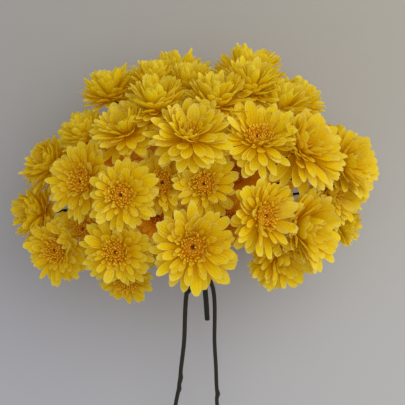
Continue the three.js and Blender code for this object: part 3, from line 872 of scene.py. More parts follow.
@dataclass
class Bloom:
    """One bloom, grown layer by layer from the rim to the eye.

    reach_share is the share of half its width that its petals grow to, lean_kept how much of the lean of the petals
    under it a petal takes on, and steepest the most that one rises, in radians. A petal that is shortened keeps
    width_kept of its width whatever its length. The outer layers are made from finer blanks than the inner ones.
    """

    number: int
    place: BloomPlace
    blanks: dict[PetalKind, Blank]
    inner_blanks: dict[PetalKind, Blank]
    finish: bpy.types.Material
    reach_share: float = 0.86
    petal_thickness: float = 0.5
    outer_layers: int = 3
    lean_kept: float = 0.8
    steepest: float = 1.45
    width_kept: float = 0.4

    def __post_init__(self) -> None:
        """Finds the bloom's reach, its neighbours and the side that it opens to first."""
        self.rng = np.random.default_rng(SEED + self.number)
        self.plan = PLANS[self.place.habit]
        self.opens_to = self.rng.normal(*VARY.opens_to)
        self.radius = self.place.across / 2 * self.reach_share
        self.neighbours = Neighbours(self.place)
        self.bundle = Bundle()

    def settled(self, blank: Blank, bend: Bend, angle: float, root: Pair, lean: float) -> tuple[Array, float]:
        """Stands a petal up, then shortens it, until it has room.

        Args:
            blank: the petal's blank.
            bend: its shape where nothing presses on it.
            angle: where it stands round the axis.
            root: the radius and the height of its root.
            lean: how much the petal under it was stood up, which it can't lie below.

        Returns:
            The petal's points in the part's frame, and how much it was stood up.
        """
        best = None
        for keep, stand in SETTLING:
            tried = replace(
                bend,
                length=bend.length * keep,
                half_width=bend.half_width * (self.width_kept + (1 - self.width_kept) * keep),
                rise=min(bend.rise + lean + stand, self.steepest),
            )
            points = self.place.seated(tried.applied(blank), angle, root)
            over = self.neighbours.pressed(points)
            if best is None or over < best[0]:
                best = (over, points, lean + stand)
            if over <= 0:
                break
        return best[1], best[2]

    def lean(self, under: list[float], turned: float) -> float:
        """How much a petal has to stand up because those under it do.

        Args:
            under: how much each petal of the layer below stands up, from where the layers start.
            turned: how far round from there the petal is.

        Returns:
            Its lean in radians.
        """
        if not under:
            return 0.0
        place = turned % (2 * math.pi) / (2 * math.pi) * len(under)
        return self.lean_kept * float(np.interp(place, np.arange(len(under) + 1), under + under[:1]))

    def petal(self, layer: Layer, reach: float, angle: float) -> tuple[Bend, float, bool]:
        """Draws the shape of one petal.

        Args:
            layer: the layer that it is in.
            reach: how far the bloom reaches from the layer's roots.
            angle: where it stands round the axis.

        Returns:
            How it is bent, how near it is to the side that opens first, from -1 to 1, and whether it is a stray.
        """
        draw = self.rng.normal
        wild = self.plan.wild
        towards = self.place.turn @ np.array([math.cos(angle), math.sin(angle), 0])
        hang = self.plan.weight * float(towards[1])
        opened = math.cos(math.atan2(towards[1], towards[0]) - self.opens_to)
        unfold = VARY.unfold * opened
        late = VARY.unfold_late[0] * (1 - layer.length) + VARY.unfold_late[1]
        stray = self.rng.random() < VARY.strays
        length = layer.length * reach
        rise = layer.rise * (1 - VARY.unfold_rise * unfold) + VARY.hang_rise * hang
        incurve = layer.incurve + VARY.hang_incurve * hang - VARY.unfold_incurve * unfold
        bend = Bend(
            length=length * (1 - VARY.hang_length * hang + unfold * late) * draw(1, VARY.length * wild),
            half_width=length * layer.half_width * (1 + VARY.opened_width * opened) * draw(1, VARY.width),
            thickness=self.petal_thickness,
            rise=math.radians(rise + draw(0, VARY.rise * wild) + VARY.stray_rise * stray),
            incurve=math.radians(incurve + draw(0, VARY.incurve * wild)),
            cup=math.radians(layer.cup * (1 - VARY.opened_cup * opened) * draw(1, VARY.cup)),
            twist=math.radians(draw(0, VARY.twist * wild + VARY.stray_twist * stray)),
            wave=draw(0, VARY.wave),
        )
        return bend, opened, stray

    def chance(self, opened: float) -> float:
        """A petal's own chance, which makes its rims paler: less so on the side that opens first."""
        drawn = between(VARY.chances, self.rng.random())
        return float(np.clip(drawn - VARY.opened_chance * opened, 0, VARY.most_chance))

    def grow_petals(self) -> None:
        """Grows every layer, each half a step on from the one below."""
        start = self.rng.uniform(0, 2 * math.pi)
        under: list[float] = []
        layers = self.plan.layers
        for number, layer in enumerate(layers):
            step = 2 * math.pi / layer.count
            root = (layer.root[0] * self.radius, layer.root[1])
            blanks = self.blanks if number < self.outer_layers else self.inner_blanks
            age = self.plan.ripeness * number / (len(layers) - 1)
            leans = []
            for j in range(layer.count):
                angle = start + step * (j + number / 2) + self.rng.normal(0, VARY.around)
                bend, opened, stray = self.petal(layer, self.radius - root[0], angle)
                blank = blanks[layer.kinds[int(self.rng.integers(len(layer.kinds)))]]
                points, stood = self.settled(blank, bend, angle, root, self.lean(under, angle - start))
                leans.append(stood)
                chance = STRAY_CHANCE if stray else self.chance(opened)
                self.bundle.add(blank, points, chance, age)
            under = leans

    def grow_eye(self) -> None:
        """Grows the florets in a sunflower spiral: the inner ones hook over the middle, the outer ones lean out."""
        eye = self.plan.eye
        blank = self.blanks[PetalKind.FLORET]
        florets = round(eye.florets * self.radius / eye.PER_RADIUS)
        golden_angle = math.pi * (3 - math.sqrt(5))
        draw = self.rng.normal
        for j in range(florets):
            outward = (j + 0.5) / florets
            angle = j * golden_angle + draw(0, VARY.around)
            length = self.radius * eye.length * between(FLORETS.length, outward)
            bend = Bend(
                length=length * draw(1, FLORETS.length_spread),
                half_width=between(FLORETS.half_width, outward),
                thickness=FLORETS.thickness,
                rise=math.radians(between(FLORETS.rise, outward) + draw(0, FLORETS.rise_spread)),
                incurve=math.radians(between(FLORETS.incurve, outward) + draw(0, FLORETS.incurve_spread)),
                cup=math.radians(FLORETS.cup),
                twist=math.radians(draw(0, FLORETS.twist_spread)),
            )
            radius = self.radius * between((eye.bare, eye.radius), math.sqrt(outward))
            root = (radius - FLORETS.sunk, between(FLORETS.height, outward))
            points = self.place.seated(bend.applied(blank), angle, root)
            self.bundle.add(blank, points, self.rng.random(), FLORET_AGE)

    def grow_heart(self) -> None:
        """Grows the lobes of the heart."""
        blank = self.inner_blanks[PetalKind.SPOON]
        length = HEART.longer + HEART.length * self.radius
        bend = Bend(
            length=length,
            half_width=length * HEART.half_width,
            thickness=HEART.thickness,
            rise=math.radians(HEART.rise),
            incurve=0.0,
            cup=math.radians(HEART.cup),
        )
        for j in range(HEART.lobes):
            points = self.place.seated(bend.applied(blank), 2 * math.pi * j / HEART.lobes, HEART.root)
            self.bundle.add(blank, points, HEART.chance, HEART_AGE)

    def grown(self) -> bpy.types.Object:
        """Grows the bloom and dresses it.

        Returns:
            Its object.
        """
        self.grow_heart()
        self.grow_petals()
        self.grow_eye()
        return self.bundle.made(f"petals_{self.number:02d}", self.finish)


# ---- stems ----


@dataclass(frozen=True)
class SmoothLine:
    """A centripetal Catmull-Rom curve through some points."""

    STEP: ClassVar[float] = 1e-4  # how far to either side its direction is read
    points: Array

    def at(self, t: float) -> Array:
        """The point at a share of the way, where each stretch between points counts the same.

        Args:
            t: the share, from 0 to 1.

        Returns:
            The point.
        """
        p, last = self.points, len(self.points) - 1
        i = min(int(t * last), last - 1)
        w = t * last - i
        before = p[i - 1] if i > 0 else 2 * p[0] - p[1]
        after = p[i + 2] if i + 2 <= last else 2 * p[last] - p[last - 1]
        p0, p1, p2, p3 = before, p[i], p[i + 1], after
        d0, d1, d2 = (math.sqrt(np.linalg.norm(b - a)) for a, b in ((p0, p1), (p1, p2), (p2, p3)))
        t1 = ((p1 - p0) / d0 - (p2 - p0) / (d0 + d1) + (p2 - p1) / d1) * d1
        t2 = ((p2 - p1) / d1 - (p3 - p1) / (d1 + d2) + (p3 - p2) / d2) * d1
        return p1 + t1 * w + (3 * (p2 - p1) - 2 * t1 - t2) * w**2 + (2 * (p1 - p2) + t1 + t2) * w**3

    def along(self, t: float) -> Array:
        """The curve's direction there."""
        return unit(self.at(min(t + self.STEP, 1.0)) - self.at(max(t - self.STEP, 0.0)))


@dataclass(frozen=True)
class Stalk:
    """The stalk of one bloom: a bowed line from inside the stem to the foot of its cup."""

    place: BloomPlace
    corners: tuple[Array, Array, Array, Array]

    def at(self, t: Array | float) -> Array:
        """The points at shares of the way.

        Args:
            t: the shares, from 0 to 1.

        Returns:
            One row a point.
        """
        a, b, c, d = self.corners
        t = np.asarray(t, float)[..., None]
        return (1 - t) ** 3 * a + 3 * (1 - t) ** 2 * t * b + 3 * (1 - t) * t**2 * c + t**3 * d


@dataclass(frozen=True)
class StalkRule:
    """How stalks find their way: they leave the stem along it and bow to the side that is clearest of blooms.

    A stalk ends cup_gap and cup_depth under its bloom's seat. It tries to bow in some directions by a step, then by
    two, and so on for some rounds, until there is enough room between it and the blooms' bodies, which are body_share
    of a bloom's width in radius. It follows the stem for leave of its span at its start, and its bloom's axis for into
    of its span, or into_most if that is less, at its end. The room is measured at probes along it, but the first few,
    which are inside the stem.
    """

    cup_depth: float = 6.0
    cup_gap: float = 0.3
    directions: int = 8
    rounds: int = 4
    step: float = 9.0
    enough: float = 3.5
    body_share: float = 0.42
    leave: float = 0.3
    into: float = 0.4
    into_most: float = 45.0
    probes: int = 21
    first_probe: int = 2

    def clearance(self, points: Array, blooms: list[BloomPlace]) -> float:
        """How clear some points are of the nearest bloom, whose body is the half of a ball in front of its seat.

        Args:
            points: one row a point.
            blooms: the blooms to stay clear of.

        Returns:
            The least distance, below 0 inside a bloom.
        """
        seats = np.array([b.seat for b in blooms])
        axes = np.array([b.axis for b in blooms])
        across = np.array([b.across for b in blooms])
        away = points[:, None] - seats
        behind = -(away * axes).sum(axis=2)
        outside = np.linalg.norm(away, axis=2) - self.body_share * across
        return float(np.maximum(behind, outside).min())

    def stalk(self, place: BloomPlace, start: Array, along: Array) -> Stalk:
        """The clearest stalk for a bloom.

        Args:
            place: the bloom.
            start: where the stalk leaves its stem.
            along: the stem's direction there.

        Returns:
            The stalk.
        """
        foot = place.seat - (self.cup_gap + self.cup_depth) * place.axis
        span = float(np.linalg.norm(foot - start))
        out = unit(foot - start)
        first = start + unit(along + out) * span * self.leave
        last = foot - min(span * self.into, self.into_most) * place.axis
        side = unit(np.cross((0, 0, 1), out))
        over = np.cross(out, side)
        others = [b for b in BLOOMS if b is not place]
        best, best_clear = None, -math.inf
        for bow in range(self.rounds * self.directions + 1):
            by = math.ceil(bow / self.directions) * self.step
            angle = 2 * math.pi * bow / self.directions
            aside = side * by * math.cos(angle) + over * by * math.sin(angle)
            tried = Stalk(place, (start, first + aside, last + aside, foot))
            clear = self.clearance(tried.at(np.linspace(0, 1, self.probes)[self.first_probe :]), others)
            if clear > best_clear:
                best, best_clear = tried, clear
            if clear > self.enough:
                break
        return best


@dataclass(frozen=True)
class CupRow:
    """One row of bracts round a cup.

    offset is how far round it starts, as a share of the step between bracts. Angles are radians, and root is a
    radius and a height over the bloom's seat.
    """

    count: int
    offset: float
    length: float
    half_width: float
    thickness: float
    rise: float
    incurve: float
    root: Pair
    cup: float = 0.5
    unevenness: float = 0.04


CUP_ROWS = (
    CupRow(8, 0.0, 8.6, 2.1, 1.6, 0.15, 1.5, (0.9, -6.0)),
    CupRow(8, 0.5, 7.2, 2.3, 1.8, 0.1, 1.5, (0.9, -4.2)),
)


@dataclass
class SprayStem:
    """One spray's stem with its stalks, cups and leaves, as one piece.

    stalk_radius is a stalk's radius at its root, its middle and its cup. Stalks leave the stem from the first of its
    probes that is past branched_from, in millimetres along +Y, to branched_to, a share of its length.
    """

    side: Side
    blanks: dict[PetalKind, Blank]
    finishes: dict[str, bpy.types.Material]
    SMOOTH_UNDER: ClassVar[float] = math.radians(50)  # edges that turn less are shaded smooth
    ribs: int = 6
    rib_depth: float = 0.14
    steps: int = 90
    probes: int = 401
    stalk_steps: int = 14
    stalk_radius: Triple = (1.3, 1.1, 1.7)
    branched_from: float = 40.0
    branched_to: float = 0.96
    leaf_wide: float = 0.3
    leaf_thickness: float = 0.9

    def __post_init__(self) -> None:
        """Finds the lines of the stem and of its stalks."""
        self.rng = np.random.default_rng(SEED * 100 + list(Side).index(self.side))
        self.points = STEMS[self.side]
        self.line = SmoothLine(np.array([p.at for p in self.points], float))
        self.stalks = self.laid_stalks()

    def laid_stalks(self) -> dict[int, Stalk]:
        """Lays the stalks, which leave the stem in even steps, the lowest bloom's first.

        Returns:
            Each bloom's stalk, by the bloom's number.
        """
        probes = np.linspace(0, 1, self.probes)
        first = next(float(t) for t in probes if self.line.at(t)[1] > self.branched_from)
        borne = [(n, b) for n, b in enumerate(BLOOMS, 1) if b.side is self.side]
        borne.sort(key=lambda pair: pair[1].centre[1])
        rule = StalkRule()
        stalks = {}
        for i, (number, place) in enumerate(borne):
            t = first + (self.branched_to - first) * i / (len(borne) - 1)
            stalks[number] = rule.stalk(place, self.line.at(t), self.line.along(t))
        return stalks

    def profile(self) -> bpy.types.Object:
        """Makes the ribbed round that stems and stalks are drawn with.

        Returns:
            A curve object of radius 1.
        """
        nothing_selected()
        bpy.ops.mesh.primitive_circle_add(vertices=2 * self.ribs, radius=1)
        made = bpy.context.object
        bpy.ops.object.mode_set(mode="EDIT")
        bm = bmesh.from_edit_mesh(made.data)
        for number, vertex in enumerate(bm.verts):
            vertex.select_set(number % 2 == 0)
        bm.select_flush_mode()
        bpy.ops.transform.resize(value=(1 - self.rib_depth,) * 3, center_override=(0, 0, 0))
        bpy.ops.object.mode_set(mode="OBJECT")
        bpy.ops.object.convert(target="CURVE")
        return bpy.context.object

    def tubes(self) -> bpy.types.Object:
        """Draws the stem and all its stalks, with closed ends.

        Returns:
            Their mesh object.
        """
        profile = self.profile()
        data = bpy.data.curves.new("tubes", "CURVE")
        data.dimensions = "3D"
        data.bevel_mode = "OBJECT"
        data.bevel_object = profile
        data.use_fill_caps = True
        shares = np.linspace(0, 1, self.steps)
        last = len(self.points) - 1
        radii = np.interp(shares * last, np.arange(last + 1), [p.radius for p in self.points])
        self.draw(data, np.array([self.line.at(t) for t in shares]), radii)
        for stalk in self.stalks.values():
            t = np.linspace(0, 1, self.stalk_steps)
            self.draw(data, stalk.at(t), np.interp(t, [0, 0.5, 1], self.stalk_radius))
        if STUB.side is self.side:
            self.draw(data, np.array([STUB.start, STUB.end], float), np.full(2, STUB.radius))
        made = linked("tubes", data)
        bpy.ops.object.convert(target="MESH")
        bpy.data.objects.remove(profile)
        made.data.materials.clear()
        made.data.materials.append(self.finishes["stem"])
        made.data.materials.append(self.finishes["cut"])
        for face in made.data.polygons:
            face.material_index = int(face.loop_total > 4)  # the flat ends alone have more than four corners
        bpy.ops.object.shade_smooth_by_angle(angle=self.SMOOTH_UNDER)
        return made

    def draw(self, data: bpy.types.Curve, points: Array, radii: Array) -> None:
        """Adds one tube's line to a curve.

        Args:
            data: the curve.
            points: the line's points in millimetres.
            radii: the radius at each.
        """
        spline = data.splines.new("POLY")
        spline.points.add(len(points) - 1)
        rows = np.concatenate([points * MM, np.ones((len(points), 1))], axis=1)
        spline.points.foreach_set("co", rows.ravel())
        spline.points.foreach_set("radius", np.asarray(radii) * MM)

    def cups(self) -> bpy.types.Object:
        """Grows the green cups under the blooms: rows of bracts that lap up round the seat.

        Returns:
            Their object.
        """
        bundle = Bundle()
        blank = self.blanks[PetalKind.BRACT]
        for stalk in self.stalks.values():
            for row in CUP_ROWS:
                bend = Bend(row.length, row.half_width, row.thickness, row.rise, row.incurve, row.cup)
                for j in range(row.count):
                    angle = 2 * math.pi * (j + row.offset) / row.count + self.rng.normal(0, row.unevenness)
                    points = stalk.place.seated(bend.applied(blank), angle, row.root)
                    bundle.add(blank, points, self.rng.random(), 0.0)
        return bundle.made("cups", self.finishes["cup"])

    def leaves(self) -> bpy.types.Object | None:
        """Grows the lobed leaves that were left on under the flowers.

        Returns:
            Their object, or nothing where the spray has none.
        """
        bundle = Bundle()
        blank = self.blanks[PetalKind.LEAF]
        for leaf in LEAVES:
            if leaf.stalk not in self.stalks:
                continue
            base = self.stalks[leaf.stalk].at(leaf.up)
            out = unit(np.array(leaf.points, float))
            side = unit(np.cross(out, (0, 0, 1)))
            face = np.cross(side, out)
            bend = Bend(
                length=leaf.long,
                half_width=leaf.long * self.leaf_wide,
                thickness=self.leaf_thickness,
                rise=0.12,
                incurve=-0.5,
                cup=0.4,
                twist=0.2,
                wave=0.12,
            )
            points = bend.applied(blank)
            placed = base + points[:, :1] * out - points[:, 1:2] * side + points[:, 2:] * face
            bundle.add(blank, placed, self.rng.random(), 0.0)
        return bundle.made("leaves", self.finishes["leaf"]) if bundle.points else None

    def grown(self) -> bpy.types.Object:
        """Grows the whole spray stem.

        Returns:
            Its object.
        """
        parts = [self.tubes(), self.cups(), self.leaves()]
        nothing_selected()
        for part in parts:
            if part:
                part.select_set(True)
        bpy.context.view_layer.objects.active = parts[0]
        bpy.ops.object.join()
        made = bpy.context.object
        made.name = f"stalks_{self.side.value}"
        return made


# ---- finishes ----


class Recipe:
    """The nodes of one material."""

    def __init__(self, name: str) -> None:
        """Starts a material with an empty node tree."""
        self.material = bpy.data.materials.new(name)
        self.material.use_nodes = True
        self.tree = self.material.node_tree
        self.tree.nodes.clear()

    def node(self, kind: str, settings: dict[str, object], inputs: dict[str | int, object]) -> bpy.types.Node:
        """Adds a node.

        Args:
            kind: the node's type.
            settings: its own settings, which are set first.
            inputs: the value or link of each socket, by name or number.

        Returns:
            The node.
        """
        node = self.tree.nodes.new(kind)
        for name, value in settings.items():
            setattr(node, name, value)
        for name, value in inputs.items():
            socket = node.inputs[name]
            if isinstance(value, Value):
                self.tree.links.new(value.socket, socket)
            elif isinstance(value, bpy.types.NodeSocket):
                self.tree.links.new(value, socket)
            else:
                socket.default_value = value
        return node

    def value(self, socket: bpy.types.NodeSocket) -> Value:
        """A socket that holds a number, ready for sums."""
        return Value(self, socket)

    def parts(self, vector: bpy.types.NodeSocket) -> tuple[Value, Value]:
        """The first two numbers of a vector."""
        parts = self.node("ShaderNodeSeparateXYZ", {}, {0: vector}).outputs
        return self.value(parts[0]), self.value(parts[1])

    def uv(self, layer: str) -> tuple[Value, Value]:
        """The two numbers of one of the piece's UV maps."""
        return self.parts(self.node("ShaderNodeUVMap", {"uv_map": layer}, {}).outputs[0])

    def here(self) -> bpy.types.NodeSocket:
        """Places in the part's frame."""
        return self.node("ShaderNodeTexCoord", {}, {}).outputs["Object"]

    def noise(self, scale: float, stretch: Triple = (1, 1, 1), detail: float = 2.0) -> Value:
        """Soft noise over the part's own places.

        Args:
            scale: how fine it is.
            stretch: how much finer or coarser it is along each axis.
            detail: how many finer layers are added.

        Returns:
            A value from 0 to 1.
        """
        drawn = self.node("ShaderNodeMapping", {}, {"Vector": self.here(), "Scale": stretch})
        noise = self.node("ShaderNodeTexNoise", {}, {"Vector": drawn.outputs[0], "Scale": scale, "Detail": detail})
        return self.value(noise.outputs[0])

    def mixed(self, share: Value | float, first: object, second: object) -> bpy.types.NodeSocket:
        """One colour passing into another.

        Args:
            share: how much of the second there is.
            first: a colour or a colour socket.
            second: a colour or a colour socket.

        Returns:
            The mixed colour's socket.
        """
        sides = [c if isinstance(c, bpy.types.NodeSocket) else (*c, 1) for c in (first, second)]
        mix = self.node("ShaderNodeMix", {"data_type": "RGBA"}, {0: share, 6: sides[0], 7: sides[1]})
        return mix.outputs[2]

    def bump(self, height: Value, strength: float, distance: float) -> bpy.types.NodeSocket:
        """The surface's normal, roughened by a height."""
        inputs = {"Height": height, "Strength": strength, "Distance": distance}
        return self.node("ShaderNodeBump", {}, inputs).outputs[0]

    def skin(self, inputs: dict[str, object]) -> bpy.types.NodeSocket:
        """A Principled shader with some inputs."""
        return self.node("ShaderNodeBsdfPrincipled", {}, inputs).outputs[0]

    def surface(self, shader: bpy.types.NodeSocket) -> bpy.types.Material:
        """Makes a shader the surface of the material, which is then finished."""
        self.node("ShaderNodeOutputMaterial", {}, {"Surface": shader})
        return self.material


class Value:
    """A number that a material works out for each point of a surface. Sums on it add Math nodes."""

    def __init__(self, recipe: Recipe, socket: bpy.types.NodeSocket) -> None:
        """Wraps a socket."""
        self.recipe = recipe
        self.socket = socket

    def sum(self, operation: str, *values: Value | float) -> Value:
        """The result of a Math node on some values."""
        math_node = self.recipe.node("ShaderNodeMath", {"operation": operation}, dict(enumerate(values)))
        return Value(self.recipe, math_node.outputs[0])

    def __add__(self, other: Value | float) -> Value:
        """self + other"""
        return self.sum("ADD", self, other)

    def __radd__(self, other: float) -> Value:
        """other + self"""
        return self.sum("ADD", other, self)

    def __sub__(self, other: Value | float) -> Value:
        """self - other"""
        return self.sum("SUBTRACT", self, other)

    def __rsub__(self, other: float) -> Value:
        """other - self"""
        return self.sum("SUBTRACT", other, self)

    def __mul__(self, other: Value | float) -> Value:
        """self * other"""
        return self.sum("MULTIPLY", self, other)

    def __rmul__(self, other: float) -> Value:
        """other * self"""
        return self.sum("MULTIPLY", other, self)

    def __abs__(self) -> Value:
        """abs(self)"""
        return self.sum("ABSOLUTE", self)

    def above(self, limit: float) -> Value:
        """1 where the value is over a limit, otherwise 0."""
        return self.sum("GREATER_THAN", self, limit)

    def fraction(self) -> Value:
        """What is left of the value past its whole number."""
        return self.sum("FRACT", self)

    def wave(self) -> Value:
        """The value's sine."""
        return self.sum("SINE", self)

    def clamped(self) -> Value:
        """The value, kept from 0 to 1."""
        return self.recipe.value(self.recipe.node("ShaderNodeClamp", {}, {0: self}).outputs[0])

    def rising(self, low: float, high: float) -> Value:
        """A smooth step.

        Args:
            low: where it leaves 0.
            high: where it reaches 1.

        Returns:
            The step.
        """
        settings = {"interpolation_type": "SMOOTHSTEP"}
        inputs = {"Value": self, "From Min": low, "From Max": high, "To Min": 0.0, "To Max": 1.0}
        return self.recipe.value(self.recipe.node("ShaderNodeMapRange", settings, inputs).outputs[0])


@dataclass(frozen=True)
class PetalFinish:
    """Satin petals: orange in the throat, gold along the blade, lemon at the tip, with pale rims and fine veins, whose
    darker streaks are partly the petal's own veins and partly painted shade in its channels.

    seen_through is the share of the light that passes a petal, in the colour glow, and painted_glow_strength how
    strong a glow of
    their own colour is: painted light that lifts the shade among petals, in place of light that scatters inside them.
    """

    name: str
    throat: Colour
    blade: Colour
    tip: Colour
    rim: Colour
    lemon: Colour
    underside: Colour
    glow: Colour
    eye: Colour = (0.76, 0.36, 0.003)
    eye_tip: Colour = (0.88, 0.6, 0.03)
    heart: Colour = (0.6, 0.23, 0.002)
    hollow: Colour = (0.12, 0.035, 0.004)
    seen_through: float = 0.45
    painted_glow_strength: float = 0.065
    roughness: float = 0.5
    vein_count: float = 13.0

    def material(self) -> bpy.types.Material:
        """Makes the petals' material.

        Returns:
            The material.
        """
        recipe = Recipe(self.name)
        along, across = recipe.uv("Petal")
        chance, age = recipe.uv("Growth")
        under = across.above(1.0)
        aside = abs(across.fraction() * 2 - 1)
        mottle = recipe.noise(160.0)
        veins = (aside * self.vein_count + 0.8).wave() * 0.5 + 0.5
        in_eye = age.above((PETAL_AGES + FLORET_AGE) / 2)
        in_heart = age.above((FLORET_AGE + HEART_AGE) / 2)

        blade = recipe.mixed(along.rising(0.05, 0.8), self.throat, self.blade)
        petal = recipe.mixed(along.rising(0.5, 1.0), blade, self.tip)
        pale_end = along.rising(0.8, 1.02) * 0.8
        pale_sides = aside.rising(0.66, 1.0) * along.rising(0.3, 0.8) * 0.6
        pale = (pale_end + pale_sides).clamped() * (0.3 + 1.1 * chance)
        petal = recipe.mixed(pale.clamped(), petal, self.rim)
        petal = recipe.mixed(chance.above(0.95) * 0.3, petal, self.lemon)
        petal = recipe.mixed(under * along.rising(0.1, 0.6) * 0.55, petal, self.underside)
        petal = recipe.mixed((mottle - 0.4).clamped() * 0.35, petal, self.throat)
        # Partly painted shade: the darker streaks are the petal's veins and also the shade in the channels between its
        # ridges
        petal = recipe.mixed(veins * 0.34 * (1 - 0.6 * along), petal, self.throat)

        floret = recipe.mixed(along.rising(0.35, 0.85) * (0.6 + 0.4 * chance), self.eye, self.eye_tip)
        # Painted shade: the roots of the heart's lobes are painted near black, for the shade in the eye's hollow
        heart = recipe.mixed(along.rising(0.25, 0.42), self.hollow, self.heart)
        colour = recipe.mixed(age.rising(0.3, 0.95) * 0.3, petal, self.eye)
        colour = recipe.mixed(in_eye, colour, floret)
        colour = recipe.mixed(in_heart, colour, heart)

        normal = recipe.bump(veins * 0.8 + mottle * 0.5, 0.5, 0.0006)
        inputs = {
            "Base Color": colour,
            "Roughness": self.roughness + mottle * 0.2,
            "Normal": normal,
            "Specular IOR Level": 0.08,
            # Painted light: the petals glow in their own colour, which lifts the shade among them
            "Emission Color": colour,
            "Emission Strength": self.painted_glow_strength,
        }
        flesh = recipe.node("ShaderNodeBsdfTranslucent", {}, {"Color": (*self.glow, 1), "Normal": normal})
        sides = {0: (1 - in_eye) * self.seen_through, 1: recipe.skin(inputs), 2: flesh.outputs[0]}
        return recipe.surface(recipe.node("ShaderNodeMixShader", {}, sides).outputs[0])


PETAL = PetalFinish(
    "chrysanthemum_petal",
    throat=(0.85, 0.495, 0.001),
    blade=(0.893, 0.685, 0.001),
    tip=(0.903, 0.775, 0.02),
    rim=(0.935, 0.866, 0.22),
    lemon=(0.935, 0.866, 0.14),
    underside=(0.903, 0.748, 0.006),
    glow=(0.898, 0.695, 0.012),
)
# Painted shade: a deeper orange finish, with darker eyes, for the blooms in the shade between others
SHADED_PETAL = PetalFinish(
    "shaded_petal",
    throat=(0.93, 0.43, 0.004),
    blade=(0.95, 0.59, 0.004),
    tip=(0.95, 0.67, 0.012),
    rim=(0.96, 0.77, 0.12),
    lemon=(0.96, 0.77, 0.1),
    underside=(0.95, 0.62, 0.008),
    glow=(0.95, 0.6, 0.005),
    eye=(0.66, 0.17, 0.006),
    eye_tip=(0.84, 0.4, 0.02),
    heart=(0.5, 0.11, 0.006),
)
# Painted light: a paler, greener yellow for the end of the dome that catches the most light
TOP_LIT_PETAL = PetalFinish(
    "top_lit_petal",
    throat=(0.87, 0.525, 0.001),
    blade=(0.925, 0.742, 0.003),
    tip=(0.93, 0.82, 0.03),
    rim=(0.95, 0.9, 0.24),
    lemon=(0.95, 0.9, 0.16),
    underside=(0.93, 0.79, 0.008),
    glow=(0.925, 0.75, 0.014),
)


@dataclass(frozen=True)
class StemFinish:
    """Dark green stems that brown along their ridges."""

    green: Colour = (0.014, 0.02, 0.009)
    brown: Colour = (0.026, 0.017, 0.01)

    def material(self) -> bpy.types.Material:
        """Makes the stems' material.

        Returns:
            The material.
        """
        recipe = Recipe("chrysanthemum_stem")
        streaks = recipe.noise(420.0, (1, 0.06, 1), 3.0)
        patches = recipe.noise(30.0)
        colour = recipe.mixed((streaks * 0.6 + patches * 0.6 - 0.2).clamped(), self.green, self.brown)
        normal = recipe.bump(streaks, 0.5, 0.0006)
        rough = 0.5 + streaks * 0.25
        inputs = {"Base Color": colour, "Roughness": rough, "Normal": normal, "Specular IOR Level": 0.25}
        return recipe.surface(recipe.skin(inputs))


@dataclass(frozen=True)
class GreenFinish:
    """Leaves and bracts: green with paler veins and a soft mottle."""

    name: str
    green: Colour
    vein: Colour

    def material(self) -> bpy.types.Material:
        """Makes the green parts' material.

        Returns:
            The material.
        """
        recipe = Recipe(self.name)
        along, across = recipe.uv("Petal")
        chance, _ = recipe.uv("Growth")
        aside = abs(across.fraction() * 2 - 1)
        mottle = recipe.noise(220.0, detail=3.0)
        ribs = ((along - aside * 0.25) * 40.0).wave() * 0.5 + 0.5
        midrib = 1 - aside.rising(0.02, 0.16)
        colour = recipe.mixed((midrib + ribs * 0.25 + chance * 0.2).clamped(), self.green, self.vein)
        colour = recipe.mixed(mottle * 0.4, colour, self.green)
        normal = recipe.bump(ribs * 0.5 + mottle, 0.4, 0.0005)
        inputs = {"Base Color": colour, "Roughness": 0.5 + mottle * 0.2, "Normal": normal}
        return recipe.surface(recipe.skin(inputs))


BRACT_GREEN = GreenFinish("bract", (0.07, 0.1, 0.02), (0.16, 0.19, 0.05))
LEAF_GREEN = GreenFinish("leaf", (0.025, 0.045, 0.012), (0.07, 0.1, 0.03))


@dataclass(frozen=True)
class CutFinish:
    """The pale pith of a cut stem."""

    pith: Colour = (0.36, 0.38, 0.2)
    rim: Colour = (0.12, 0.13, 0.05)

    def material(self) -> bpy.types.Material:
        """Makes the cut ends' material.

        Returns:
            The material.
        """
        recipe = Recipe("cut_stem")
        colour = recipe.mixed(recipe.noise(2500.0), self.rim, self.pith)
        return recipe.surface(recipe.skin({"Base Color": colour, "Roughness": 0.8}))


@dataclass(frozen=True)
class FloorFinish:
    """A pale table, painted paler towards the stems' cut ends and darker beyond the flowers: painted light that lifts
    the bunch's shadow near the stems, and painted shade beyond. near is its colour towards the stems' cut ends, far is
    beyond the flowers.

    It changes from left to right and from near to far over these lengths, in metres.
    """

    near_left: Colour = (0.45, 0.445, 0.485)
    near_right: Colour = (0.46, 0.45, 0.45)
    far_left: Colour = (0.36, 0.345, 0.335)
    far_right: Colour = (0.378, 0.351, 0.312)
    left_to_right: Pair = (-0.3, 0.3)
    near_to_far: Pair = (-0.15, 0.32)

    def material(self) -> bpy.types.Material:
        """Makes the table's material.

        Returns:
            The material.
        """
        recipe = Recipe("pale_table")
        x, y = recipe.parts(recipe.here())
        across = x.rising(*self.left_to_right)
        along = y.rising(*self.near_to_far)
        # Painted light and shade: paler near the stems, darker beyond the flowers
        near = recipe.mixed(across, self.near_left, self.near_right)
        far = recipe.mixed(across, self.far_left, self.far_right)
        inputs = {"Base Color": recipe.mixed(along, near, far), "Roughness": 0.9, "Specular IOR Level": 0.1}
        return recipe.surface(recipe.skin(inputs))


# ---- studio ----


@dataclass(frozen=True)
class Lamp:
    """A soft square lamp: its place and width in metres, its power in watts and its colour."""

    name: str
    place: Triple
    size: float
    power: float
    colour: Colour


